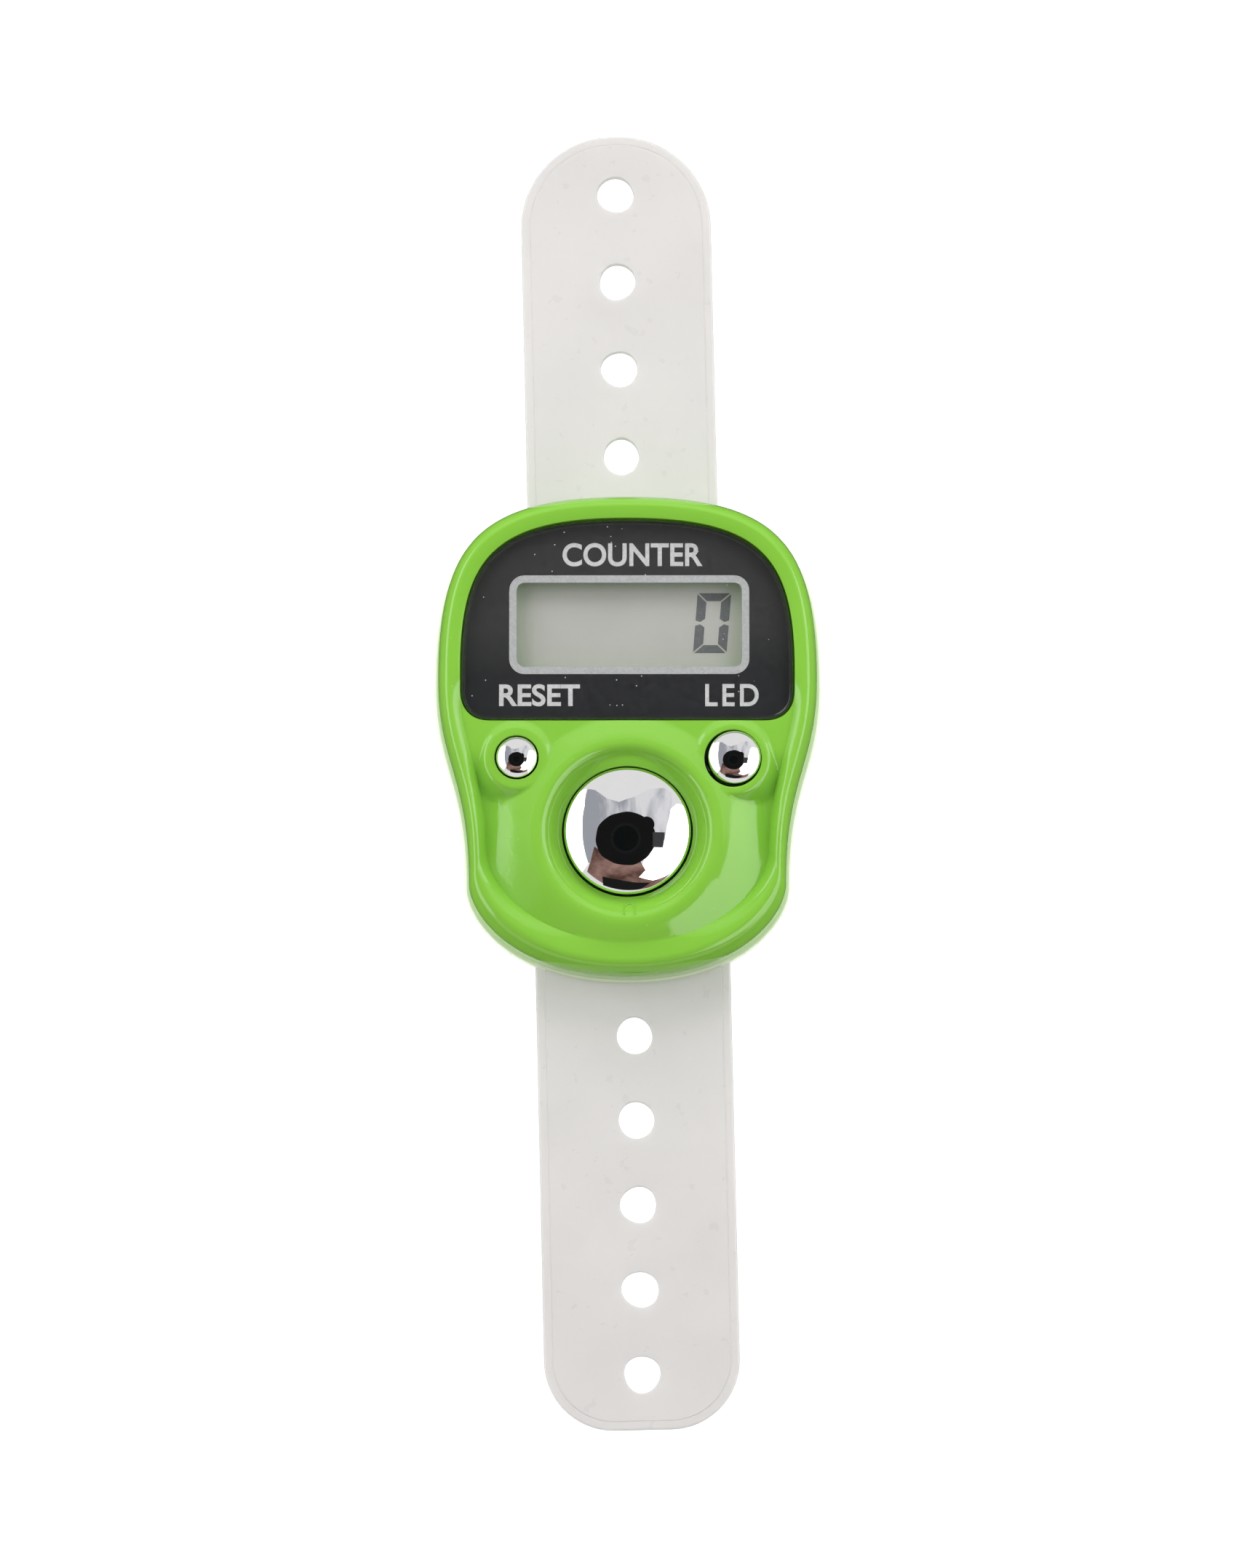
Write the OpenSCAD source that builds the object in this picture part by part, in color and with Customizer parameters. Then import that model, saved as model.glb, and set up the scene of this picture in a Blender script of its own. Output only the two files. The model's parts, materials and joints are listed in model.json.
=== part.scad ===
// Hand tally counter: a small finger-worn counter with a clear strap.
// The counter lies on its back. +Z is the way the display faces, +Y points to the upper strap tail,
// +X is to the right, and the origin is the centre of the flat back face.

/* [Case] */
// Half width of the case at its widest
case_half_w = 15; // [14.5:0.1:16]
// Distance from the origin to the top of the case
case_top_h = 19; // [18.8:0.05:19.1]
// Distance from the origin to the bottom of the case
case_low_h = 18.4; // [18.3:0.05:18.7]
// Half width of the case across its narrow lower part
case_waist_half_w = 12.55; // [12.3:0.05:12.8]
// Wall thickness of both case halves
case_wall = 1.2; // [1:0.1:1.4]
// Step by which the rear cover stands outside the outline of the front shell
rear_grow = 0.2; // [0.1:0.05:0.3]
// Step by which the clamped collar of the strap stands outside the outline of the front shell
collar_grow = 0.35; // [0.2:0.05:0.4]
// Height at which the rear cover ends and the strap collar begins
rear_top_z = 3.6; // [3.6:0.1:3.8]
// Height of the highest line of the rounded rim
rim_z = 11; // [10.9:0.1:11.2]

/* [Display] */
// Height of the straight lower edge of the lens along the case
lens_low_y = 1.14; // [1:0.02:1.3]
// Height of the top of the lens along the case
lens_high_y = 16.86; // [16.6:0.02:16.9]
// Half width of the lens
lens_half_w = 13; // [12.8:0.05:13.1]
// Width of the window behind the lens
window_w = 18.2; // [17.6:0.1:18.6]
// Height of the window behind the lens
window_h = 7.2; // [6.8:0.1:7.4]
// Centre of the window along the case
window_y = 8.67; // [8.5:0.01:8.8]
// Width of the liquid crystal glass
glass_w = 20; // [19.4:0.1:20.4]

/* [Buttons] */
// Radius of the count button
count_r = 4.83; // [4.7:0.01:4.9]
// Radius of the hole that the count button moves in
count_hole_r = 5.4; // [5.3:0.05:5.5]
// Height of the top of the count button
count_top_z = 12.4; // [12.2:0.1:12.8]
// Radius of the reset button
reset_r = 1.59; // [1.5:0.01:1.6]
// Radius of the hole that the reset button moves in
reset_hole_r = 1.9; // [1.88:0.01:1.95]
// Radius of the light button
light_r = 2.08; // [2:0.01:2.1]
// Radius of the hole that the light button moves in
light_hole_r = 2.38; // [2.36:0.01:2.45]
// Height of the tops of the two small buttons
small_top_z = 11.6; // [11.4:0.1:11.9]
// Travel of the count button, which sets the height of its contact pill
count_travel = 0.8; // [0.6:0.05:0.8]
// Travel of the two small buttons, which sets the height of their contact pills
small_travel = 0.6; // [0.4:0.05:0.6]

/* [Strap] */
// Thickness of the strap
strap_t = 1.2; // [1:0.05:1.2]
// Angle by which the strap lies askew in the case, in degrees
strap_skew = 1.3; // [0:0.1:2]
// Distance from the centre of the case to each bend line
bend_y = 19.95; // [19.9:0.05:20]
// Width of the upper tail
upper_w = 15.1; // [14:0.1:15.5]
// Distance from the centre of the case to the tip of the upper tail
upper_tip = 48.3; // [47.5:0.1:50]
// Number of holes in the upper tail
upper_holes = 4; // [1:1:4]
// Distance from the centre of the case to the first hole of the upper tail
upper_first = 22.6; // [21.8:0.1:22.8]
// Distance between the holes of the upper tail
upper_pitch = 7; // [6:0.01:7.1]
// Width of the lower tail
lower_w = 15.4; // [14:0.1:16]
// Distance from the centre of the case to the tip of the lower tail
lower_tip = 54.4; // [54:0.1:58]
// Number of holes in the lower tail
lower_holes = 5; // [1:1:5]
// Distance from the centre of the case to the first hole of the lower tail
lower_first = 23.4; // [22:0.1:24]
// Distance between the holes of the lower tail
lower_pitch = 6.66; // [6:0.01:6.8]
// Radius of the corners at the tip of the lower tail
lower_corner_r = 5.5; // [2:0.1:7]
// Radius of the strap holes
strap_hole_r = 1.45; // [1.2:0.05:1.6]

/* [Hidden] */

over = 1;              // how far a cutting solid runs past what it cuts
gap = 0.1;             // clearance between pieces that are assembled into each other
fine = 96;             // facets of large round faces
small = 48;            // facets of small round faces
curve_steps = 12;      // steps along each curved stretch of an outline

// Heights of the stack, from the back face up
floor_z = 1;
seam_z = rear_top_z + strap_t;
plate_z = 8;
seat_z = 9.5;
land_z = 9.9;
board_z = seam_z + gap;
board_t = 0.8;
board_top_z = board_z + board_t;
guide_t = 0.8;
reflector_t = 0.1;
glass_t = 0.6;
polariser_t = 0.2;
reflector_z = board_top_z + guide_t;
rear_glass_z = reflector_z + reflector_t;
front_glass_z = rear_glass_z + glass_t;
polariser_z = front_glass_z + glass_t;
lens_t = 1;

// The rim is three steps that close in on its crest: top height, outer inset, inner inset
rim_steps = [[rim_z - 0.7, 0.15, 3], [rim_z - 0.2, 0.5, 2.7], [rim_z, 1, 2.2]];
lens_land_z = rim_z - 0.2;
lens_land_inset = 0.6;

// Places of the buttons and of the fasteners
count_at = [0, -7.66];
reset_at = [-8.67, -1.9];
light_at = [8.27, -1.98];
light_button_at = [8.39, -1.88];
window_at = [0.14, window_y];
case_screw_at = [[7.4, 15], [-7.4, 15], [7.8, -13.4], [-7.8, -13.4]];
board_screw_at = [[8.6, -8.2], [-8.6, -8.2]];
battery_at = [0, 6];
door_screw_at = [0, -2.6];
chip_at = [0, -9];

// Raised rings around the buttons: crest radius, crest height, foot radius
dish_r = 8.2;
crater_crest_r = 7;
crater_crest_z = 10.9;
crater_lip_z = 10.2;
boss_crest_z = 10.6;
boss_lip_z = 10.4;
reset_crest_r = 2.35;
reset_foot_r = 2.86;
light_crest_r = 2.75;
light_foot_r = 3.15;
ring_steps = 5;

// Buttons: a flange below the plate keeps each one in its hole
flange_z = 7;
flange_play = 0.1;
flange_step = 0.5;
count_shoulder_z = 10.6;
small_shoulder_z = 10.9;
pill_play = 0.05;
pill_t = 0.2;
dome_wall = 0.7;
count_pill_r = 2.2;
small_pill_r = 0.9;
count_dome_r = 4.6;
small_dome_r = 2;

// Screws: shank radius, head radius, head height
case_boss_r = 1.4;
case_shank_r = 0.7;
case_head_r = 1.15;
case_head_z = [0.2, 1.1];
case_head_bore_r = 1.3;
case_boss_base_r = 2.1;
case_boss_base_z = 1.7;
case_screw_top_z = 7;
collar_lug_r = 2.2;
board_boss_r = 1.2;
board_shank_r = 0.45;
board_head_r = 1;
board_head_t = 0.5;
board_screw_top_z = 7.4;
thread_play = 0.02;
slot_w = 0.3;
slot_depth = 0.3;

// Battery, its well and its door
cell_r = 5.8;
cell_h = 3.05;
cell_can_h = 2.7;
cell_cap_r = 4.7;
cell_z = floor_z + 0.05;
well_r = 5.95;
well_wall = 0.8;
well_top_z = 3.4;
door_r = 6.9;
door_t = 0.6;
door_lug_r = 2.3;
door_lug_t = 1.3;
door_boss_r = 2.9;
door_head_r = 1.1;
door_head_z = [0.15, 0.7];
door_shank_r = 0.5;
door_screw_top_z = 3;
leaf_t = 0.2;
clip_w = 3;
clip_slot_w = 3.8;
clip_reach = 2.2;

// Collar and bend line
collar_inset = 2;
board_inset = 2.4;
root_r = strap_t / 2;
root_play = 0.05;
strap_mid_z = rear_top_z + root_r;
neck_start = 17.4;

function cubic(p, t) =
    pow(1 - t, 3) * p[0] + 3 * t * pow(1 - t, 2) * p[1] + 3 * t * t * (1 - t) * p[2] + t * t * t * p[3];
function curve(p) = [for (i = [0 : curve_steps - 1]) cubic(p, i / curve_steps)];
function mirrored(half) = concat(half, [for (i = [len(half) - 1 : -1 : 1]) [-half[i].x, half[i].y]]);
function ease(t) = (1 - cos(180 * t)) / 2;
function turned(p) = [
    p.x * cos(strap_skew) - p.y * sin(strap_skew),
    p.x * sin(strap_skew) + p.y * cos(strap_skew)
];

// Right half of the case, from the top round the shoulder and the waist to the bottom
function case_outline() = mirrored(concat(
    curve([[0, case_top_h], [11.7, case_top_h], [case_half_w, 15.5], [case_half_w, 4.4]]),
    curve([[case_half_w, 4.4], [case_half_w, -2.25], [case_waist_half_w, -3.2],
        [case_waist_half_w, -11.7]]),
    curve([[case_waist_half_w, -11.7], [case_waist_half_w, -14], [9.1, -case_low_h],
        [0, -case_low_h]]),
    [[0, -case_low_h]]
));

// Right half of the lens: an arched top, short straight sides, round corners and a straight foot
function lens_outline() = mirrored(concat(
    curve([[0, lens_high_y], [10.4, lens_high_y], [lens_half_w, 14], [lens_half_w, 5]]),
    curve([[lens_half_w, 3.4], [lens_half_w, 2], [12.2, lens_low_y], [10.8, lens_low_y]]),
    [[0, lens_low_y]]
));

// One side of a ring that rises from its lip to its crest and falls to its foot
function ring_profile(hole_r, lip_z, crest_r, crest_z, foot_r, foot_z) = concat(
    [[hole_r, plate_z]],
    [for (i = [0 : ring_steps]) let (t = i / ring_steps)
        [hole_r + t * (crest_r - hole_r), lip_z + ease(t) * (crest_z - lip_z)]],
    [for (i = [1 : ring_steps]) let (t = i / ring_steps)
        [crest_r + t * (foot_r - crest_r), crest_z - ease(t) * (crest_z - foot_z)]],
    [[foot_r, plate_z]]
);

module case_plate(inset, z0, z1) {
    translate([0, 0, z0])
        linear_extrude(z1 - z0)
            offset(delta = -inset)
                polygon(case_outline());
}

module lens_plate(grow, z0, z1) {
    translate([0, 0, z0])
        linear_extrude(z1 - z0)
            offset(delta = grow)
                polygon(lens_outline());
}

module disc(r, z0, z1) {
    translate([0, 0, z0])
        cylinder(r = r, h = z1 - z0, $fn = r > 3 ? fine : small);
}

module at(place) {
    translate([place.x, place.y, 0])
        children();
}

module bar(low, high) {
    translate(low)
        cube(high - low);
}

module button_ring(place, hole_r, lip_z, crest_r, crest_z, foot_r, foot_z) {
    at(place)
        rotate_extrude($fn = fine)
            polygon(ring_profile(hole_r, lip_z, crest_r, crest_z, foot_r, foot_z));
}

module rim() {
    for (i = [0 : len(rim_steps) - 1]) {
        difference() {
            case_plate(rim_steps[i][1], i == 0 ? seat_z : rim_steps[i - 1][0], rim_steps[i][0]);
            case_plate(rim_steps[i][2], seat_z - over, rim_z + over);
        }
    }
}

module front_top() {
    difference() {
        union() {
            case_plate(lens_land_inset, seat_z, land_z);
            intersection() {
                case_plate(lens_land_inset, seat_z, lens_land_z);
                bar([-case_half_w, lens_low_y, 0], [case_half_w, case_top_h, rim_z]);
            }
            rim();
        }
        at(count_at) disc(dish_r, seat_z, rim_z + over);
        lens_plate(gap, seat_z, rim_z + over);
    }
}

module front_shell() {
    color("yellowgreen")
    difference() {
        union() {
            difference() {
                case_plate(0, seam_z, seat_z);
                case_plate(case_wall, seam_z - over, plate_z);
            }
            front_top();
            button_ring(count_at, count_hole_r, crater_lip_z, crater_crest_r, crater_crest_z, dish_r, seat_z);
            button_ring(reset_at, reset_hole_r, boss_lip_z, reset_crest_r, boss_crest_z, reset_foot_r, seat_z);
            button_ring(light_at, light_hole_r, boss_lip_z, light_crest_r, boss_crest_z, light_foot_r, seat_z);
            for (place = case_screw_at) at(place) disc(case_boss_r, seam_z, plate_z);
            for (place = board_screw_at) at(place) disc(board_boss_r, board_top_z, plate_z);
        }
        at(count_at) disc(count_hole_r, plate_z - over, rim_z + over);
        at(reset_at) disc(reset_hole_r, plate_z - over, rim_z + over);
        at(light_at) disc(light_hole_r, plate_z - over, rim_z + over);
        for (place = case_screw_at)
            at(place) disc(case_shank_r + thread_play, seam_z - over, case_screw_top_z + gap);
        for (place = board_screw_at)
            at(place) disc(board_shank_r + thread_play, board_z - over, board_screw_top_z + gap);
        at(window_at)
            bar([-window_w / 2, -window_h / 2, plate_z - over], [window_w / 2, window_h / 2, seat_z + over]);
    }
}

module display_lens() {
    color("darkslategray")
    lens_plate(0, seat_z, seat_z + lens_t);
}

// A button: a flange, a straight barrel and a domed top
module push_button(place, r, hole_r, shoulder_z, top_z) {
    rise = top_z - shoulder_z;
    dome_r = (r * r + rise * rise) / (2 * rise);
    at(place) {
        disc(hole_r + flange_step, flange_z, plate_z - flange_play);
        intersection() {
            disc(r, flange_z, top_z + over);
            translate([0, 0, top_z - dome_r]) sphere(r = dome_r, $fn = fine);
        }
    }
}

module count_button() {
    color("silver")
    push_button(count_at, count_r, count_hole_r, count_shoulder_z, count_top_z);
}

module reset_button() {
    color("silver")
    push_button(reset_at, reset_r, reset_hole_r, small_shoulder_z, small_top_z);
}

module light_button() {
    color("silver")
    push_button(light_button_at, light_r, light_hole_r, small_shoulder_z, small_top_z);
}

// A rubber dome: a sloping skirt below a flat crown that the button's flange rests on
module rubber_dome(place, foot_r, pill_r, travel) {
    crown_z = board_top_z + pill_play + travel + pill_t;
    crown_r = pill_r + dome_wall;
    at(place)
        rotate_extrude($fn = small)
            polygon([
                [0, crown_z], [pill_r, crown_z], [foot_r - dome_wall, board_top_z], [foot_r, board_top_z],
                [crown_r, flange_z], [0, flange_z]
            ]);
}

module contact_pill(place, pill_r, travel) {
    at(place) disc(pill_r, board_top_z + pill_play + travel, board_top_z + pill_play + travel + pill_t);
}

module count_rubber_dome() {
    color("gainsboro")
    rubber_dome(count_at, count_dome_r, count_pill_r, count_travel);
}

module reset_rubber_dome() {
    color("gainsboro")
    rubber_dome(reset_at, small_dome_r, small_pill_r, small_travel);
}

module light_rubber_dome() {
    color("gainsboro")
    rubber_dome(light_at, small_dome_r, small_pill_r, small_travel);
}

module count_contact_pill() {
    color("dimgray")
    contact_pill(count_at, count_pill_r, count_travel);
}

module reset_contact_pill() {
    color("dimgray")
    contact_pill(reset_at, small_pill_r, small_travel);
}

module light_contact_pill() {
    color("dimgray")
    contact_pill(light_at, small_pill_r, small_travel);
}

// The display stack: the front glass overhangs the rear glass at its lower edge, where the strip meets it
glass_low_y = 4;
glass_high_y = 13;
ledge_y = 5.4;
polariser_trim = 0.4;
guide_trim = 0.3;
zebra_w = 1.1;
zebra_trim = 0.8;

module lcd_front_glass() {
    color("lightgray")
    bar([-glass_w / 2, glass_low_y, front_glass_z], [glass_w / 2, glass_high_y, polariser_z]);
}

module lcd_rear_glass() {
    color("lightgray")
    bar([-glass_w / 2, ledge_y, rear_glass_z], [glass_w / 2, glass_high_y, front_glass_z]);
}

module lcd_polariser() {
    color("darkgray")
    bar([-glass_w / 2 + polariser_trim, glass_low_y + polariser_trim, polariser_z],
        [glass_w / 2 - polariser_trim, glass_high_y - polariser_trim, polariser_z + polariser_t]);
}

module lcd_reflector() {
    color("white")
    bar([-glass_w / 2 + polariser_trim, ledge_y, reflector_z],
        [glass_w / 2 - polariser_trim, glass_high_y - polariser_trim, rear_glass_z]);
}

module light_guide() {
    color("honeydew")
    bar([-glass_w / 2 + guide_trim, ledge_y, board_top_z],
        [glass_w / 2 - guide_trim, glass_high_y - guide_trim, reflector_z]);
}

module zebra_strip() {
    color("dimgray")
    bar([-glass_w / 2 + zebra_trim, glass_low_y + gap, board_top_z],
        [glass_w / 2 - zebra_trim, glass_low_y + gap + zebra_w, front_glass_z]);
}

led_size = [0.8, 1.6, 0.7];
led_at = [glass_w / 2 - guide_trim + gap, window_y - led_size.y / 2, board_top_z];

module led() {
    color("ivory")
    translate(led_at) cube(led_size);
}

module circuit_board() {
    color("seagreen")
    difference() {
        case_plate(board_inset, board_z, board_top_z);
        for (place = case_screw_at) at(place) disc(case_boss_r + 2 * gap, board_z - over, board_top_z + over);
        for (place = board_screw_at)
            at(place) disc(board_shank_r + gap, board_z - over, board_top_z + over);
    }
}

chip_r = 3.2;
chip_h = 0.9;
chip_dome_r = (chip_r * chip_r + chip_h * chip_h) / (2 * chip_h);

module chip_blob() {
    color("black")
    at(chip_at)
    intersection() {
        disc(chip_r, board_z - 2 * chip_h, board_z);
        translate([0, 0, board_z - chip_h + chip_dome_r]) sphere(r = chip_dome_r, $fn = fine);
    }
}

// Small parts on the back of the board: centre and size of each
smd_list = [
    [[-8, -3], [3.2, 1.5, 0.9]], [[8, -3.4], [2, 1.2, 0.6]], [[8, 0.2], [2, 1.2, 0.6]],
    [[-5.4, -10.6], [1.6, 0.8, 0.5]], [[5.4, -10.6], [1.6, 0.8, 0.5]], [[-8.6, 3.4], [1.6, 0.8, 0.5]]
];

module smd_components() {
    color("saddlebrown")
    for (item = smd_list)
        translate([item[0].x - item[1].x / 2, item[0].y - item[1].y / 2, board_z - item[1].z])
            cube(item[1]);
}

module battery_cell() {
    color("lightsteelblue")
    at(battery_at) {
        disc(cell_r, cell_z, cell_z + cell_can_h);
        disc(cell_cap_r, cell_z, cell_z + cell_h);
    }
}

module battery_positive_clip() {
    color("gold")
    at(battery_at) {
        bar([cell_r, -clip_w / 2, cell_z + 2 * leaf_t], [cell_r + leaf_t, clip_w / 2, board_z]);
        bar([cell_r, -clip_w / 2, board_z - leaf_t], [cell_r + clip_reach, clip_w / 2, board_z]);
    }
}

leaf_w = 2.4;
leaf_half = 3.2;
leaf_bend = 1.6;

// A leaf that is soldered at both ends and sags to the cell's cap in the middle
module battery_negative_spring() {
    cap_z = cell_z + cell_h;
    color("gold")
    at(battery_at)
        translate([0, leaf_w / 2, 0])
            rotate([90, 0, 0])
                linear_extrude(leaf_w)
                    polygon([
                        [-leaf_half, board_z], [-leaf_bend, board_z], [0, cap_z + leaf_t],
                        [leaf_bend, board_z], [leaf_half, board_z], [leaf_half, board_z - leaf_t],
                        [leaf_bend + gap, board_z - leaf_t], [0, cap_z],
                        [-leaf_bend - gap, board_z - leaf_t], [-leaf_half, board_z - leaf_t]
                    ]);
}

// The neck of the collar reaches from the case to a bend line, over the upper half of the strap's thickness,
// and ends in a socket for a tail's round root
module collar_neck(w) {
    difference() {
        bar([-w / 2, neck_start, strap_mid_z], [w / 2, bend_y, seam_z]);
        translate([-w, bend_y, strap_mid_z])
            rotate([0, 90, 0])
                cylinder(r = root_r + root_play, h = 2 * w, $fn = small);
    }
}

// The clamped ring: it follows the case, with a lug round each screw boss
module collar_plan() {
    difference() {
        union() {
            difference() {
                offset(delta = collar_grow) polygon(case_outline());
                offset(delta = -collar_inset) polygon(case_outline());
            }
            for (place = case_screw_at)
                translate(place) circle(r = collar_lug_r, $fn = small);
        }
        for (place = case_screw_at)
            translate(place) circle(r = case_boss_r + gap, $fn = small);
    }
}

module strap_collar() {
    color("whitesmoke") {
        translate([0, 0, rear_top_z]) linear_extrude(strap_t) collar_plan();
        rotate([0, 0, strap_skew]) collar_neck(upper_w);
        rotate([0, 0, strap_skew + 180]) collar_neck(lower_w);
    }
}

module tail_plan(w, tip, corner_r) {
    translate([-w / 2, bend_y]) square([w, tip - bend_y - corner_r]);
    translate([-w / 2 + corner_r, bend_y]) square([w - 2 * corner_r, tip - bend_y]);
    for (side = [-1, 1])
        translate([side * (w / 2 - corner_r), tip - corner_r])
            circle(r = corner_r, $fn = fine);
}

// A tail of the strap, along +Y from its round root
module tail(w, tip, corner_r, holes, first, pitch) {
    difference() {
        union() {
            translate([-w / 2, bend_y, strap_mid_z])
                rotate([0, 90, 0])
                    cylinder(r = root_r, h = w, $fn = small);
            translate([0, 0, rear_top_z])
                linear_extrude(strap_t)
                    tail_plan(w, tip, corner_r);
        }
        for (i = [0 : holes - 1])
            at([0, first + i * pitch]) disc(strap_hole_r, rear_top_z - over, seam_z + over);
    }
}

module strap_tail_upper() {
    color("whitesmoke")
    rotate([0, 0, strap_skew])
        tail(upper_w, upper_tip, upper_w / 2 - gap, upper_holes, upper_first, upper_pitch);
}

module strap_tail_lower() {
    color("whitesmoke")
    rotate([0, 0, strap_skew + 180])
        tail(lower_w, lower_tip, lower_corner_r, lower_holes, lower_first, lower_pitch);
}

// The battery door: a round plate, a pad that lifts the cell, and a thick lug for its screw
module door_plan(grow, lug_grow) {
    circle(r = door_r + grow, $fn = fine);
    translate([-door_lug_r - lug_grow, door_screw_at.y - battery_at.y])
        square([2 * (door_lug_r + lug_grow), battery_at.y - door_screw_at.y]);
    translate(door_screw_at - battery_at) circle(r = door_lug_r + lug_grow, $fn = fine);
}

module battery_door() {
    color("yellowgreen")
    difference() {
        union() {
            at(battery_at) {
                linear_extrude(door_t) door_plan(0, 0);
                disc(well_r - gap, 0, floor_z);
            }
            at(door_screw_at) disc(door_lug_r, 0, door_lug_t);
        }
        at(door_screw_at) {
            disc(door_head_r + gap, -over, door_head_z[1]);
            disc(door_shank_r + gap, -over, door_lug_t + over);
        }
    }
}

module rear_cover() {
    edge_steps = [[0, 0.4, 1.2], [0.4, floor_z, 0.6], [floor_z, rear_top_z, 0]];
    color("yellowgreen")
    difference() {
        union() {
            difference() {
                for (step = edge_steps) case_plate(step[2] - rear_grow, step[0], step[1]);
                case_plate(case_wall, floor_z, rear_top_z + over);
            }
            at(battery_at) disc(well_r + well_wall, floor_z, well_top_z);
            at(door_screw_at) disc(door_boss_r, floor_z, well_top_z);
            for (place = case_screw_at) at(place) {
                disc(case_boss_base_r, floor_z, case_boss_base_z);
                disc(case_boss_r, floor_z, seam_z);
            }
        }
        at(battery_at) {
            translate([0, 0, -over]) linear_extrude(door_t + over) door_plan(gap, gap);
            disc(well_r, -over, well_top_z + over);
            bar([0, -clip_slot_w / 2, floor_z], [well_r + well_wall + over, clip_slot_w / 2, well_top_z + over]);
        }
        at(door_screw_at) {
            disc(door_lug_r + gap, -over, door_lug_t + gap);
            disc(door_shank_r + thread_play, -over, door_screw_top_z + gap);
        }
        for (place = case_screw_at) at(place) {
            disc(case_head_bore_r, -over, case_head_z[1]);
            disc(case_shank_r + gap, -over, seam_z + over);
        }
    }
}

// A screw that goes in from the back: a cross-recessed pan head below a straight shank
module screw(head_r, head_low, head_high, shank_r, top) {
    difference() {
        union() {
            disc(head_r, head_low, head_high);
            disc(shank_r, head_low, top);
        }
        for (turn = [0, 90])
            rotate([0, 0, turn])
                bar([-head_r * 0.7, -slot_w / 2, head_low - over],
                    [head_r * 0.7, slot_w / 2, head_low + slot_depth]);
    }
}

module case_screws() {
    color("silver")
    for (place = case_screw_at)
        at(place) screw(case_head_r, case_head_z[0], case_head_z[1], case_shank_r, case_screw_top_z);
}

module battery_door_screw() {
    color("silver")
    at(door_screw_at) screw(door_head_r, door_head_z[0], door_head_z[1], door_shank_r, door_screw_top_z);
}

module board_screws() {
    color("silver")
    for (place = board_screw_at)
        at(place) screw(board_head_r, board_z - board_head_t, board_z, board_shank_r, board_screw_top_z);
}

front_shell();
display_lens();
count_button();
reset_button();
light_button();
count_rubber_dome();
reset_rubber_dome();
light_rubber_dome();
count_contact_pill();
reset_contact_pill();
light_contact_pill();
lcd_front_glass();
lcd_rear_glass();
lcd_polariser();
lcd_reflector();
zebra_strip();
light_guide();
led();
circuit_board();
chip_blob();
smd_components();
battery_cell();
battery_positive_clip();
battery_negative_spring();
strap_collar();
strap_tail_upper();
strap_tail_lower();
rear_cover();
battery_door();
battery_door_screw();
case_screws();
board_screws();
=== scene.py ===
"""Looks of a hand tally counter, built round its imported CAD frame.

Shapes are worked out in millimetres in the CAD's own frame: +Z is the way the display faces, +Y points to
the upper strap tail, and the back of the case lies at zero. MM turns them into metres when a piece is made.
"""
import json
import math

import bmesh
import bpy
import numpy as np
from mathutils import Matrix, Vector
from mathutils.geometry import delaunay_2d_cdt


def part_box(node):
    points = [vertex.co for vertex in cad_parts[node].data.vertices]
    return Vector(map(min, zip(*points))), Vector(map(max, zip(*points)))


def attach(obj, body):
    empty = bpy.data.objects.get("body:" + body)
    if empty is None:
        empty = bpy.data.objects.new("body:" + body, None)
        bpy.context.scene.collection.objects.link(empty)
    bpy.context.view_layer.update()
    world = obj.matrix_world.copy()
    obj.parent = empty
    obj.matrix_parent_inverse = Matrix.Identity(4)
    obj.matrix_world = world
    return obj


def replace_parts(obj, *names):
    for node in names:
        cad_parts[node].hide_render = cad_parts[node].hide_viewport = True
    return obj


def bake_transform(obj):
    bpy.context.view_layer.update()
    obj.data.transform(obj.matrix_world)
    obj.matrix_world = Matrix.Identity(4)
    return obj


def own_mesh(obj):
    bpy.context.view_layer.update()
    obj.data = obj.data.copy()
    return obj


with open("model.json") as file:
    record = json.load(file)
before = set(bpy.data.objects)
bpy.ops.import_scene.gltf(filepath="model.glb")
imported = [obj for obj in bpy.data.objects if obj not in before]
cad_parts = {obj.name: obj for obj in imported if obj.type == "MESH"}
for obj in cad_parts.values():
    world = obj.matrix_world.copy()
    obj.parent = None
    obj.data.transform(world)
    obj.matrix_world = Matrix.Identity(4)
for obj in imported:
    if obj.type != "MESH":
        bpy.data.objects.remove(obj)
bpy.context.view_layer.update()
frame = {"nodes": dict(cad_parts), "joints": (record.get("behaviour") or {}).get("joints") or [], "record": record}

MM = 0.001


def node_box(node):
    """Lowest and highest corner of a CAD node, in millimetres."""
    low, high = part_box(node)
    return np.array(low) / MM, np.array(high) / MM


# -------- sizes, from the frame where it holds them

SHELL_LOW, SHELL_HIGH = node_box("front_shell")
LENS_LOW, LENS_HIGH = node_box("display_lens")
COLLAR_LOW, COLLAR_HIGH = node_box("strap_collar")

HALF_W, TOP_H, RIM_Z = SHELL_HIGH
SEAM_Z = SHELL_LOW[2]
LENS_HALF_W, LENS_TOP_Y, LENS_Z = LENS_HIGH
LENS_FOOT_Y, SEAT_Z = LENS_LOW[1:]
PLATE_Z = node_box("lcd_polariser")[1][2]
COVER_GROW = node_box("rear_cover")[1][0] - HALF_W
COLLAR_GROW = COLLAR_HIGH[0] - HALF_W
REAR_TOP_Z = COLLAR_LOW[2]
STRAP_T = COLLAR_HIGH[2] - COLLAR_LOW[2]

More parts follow.
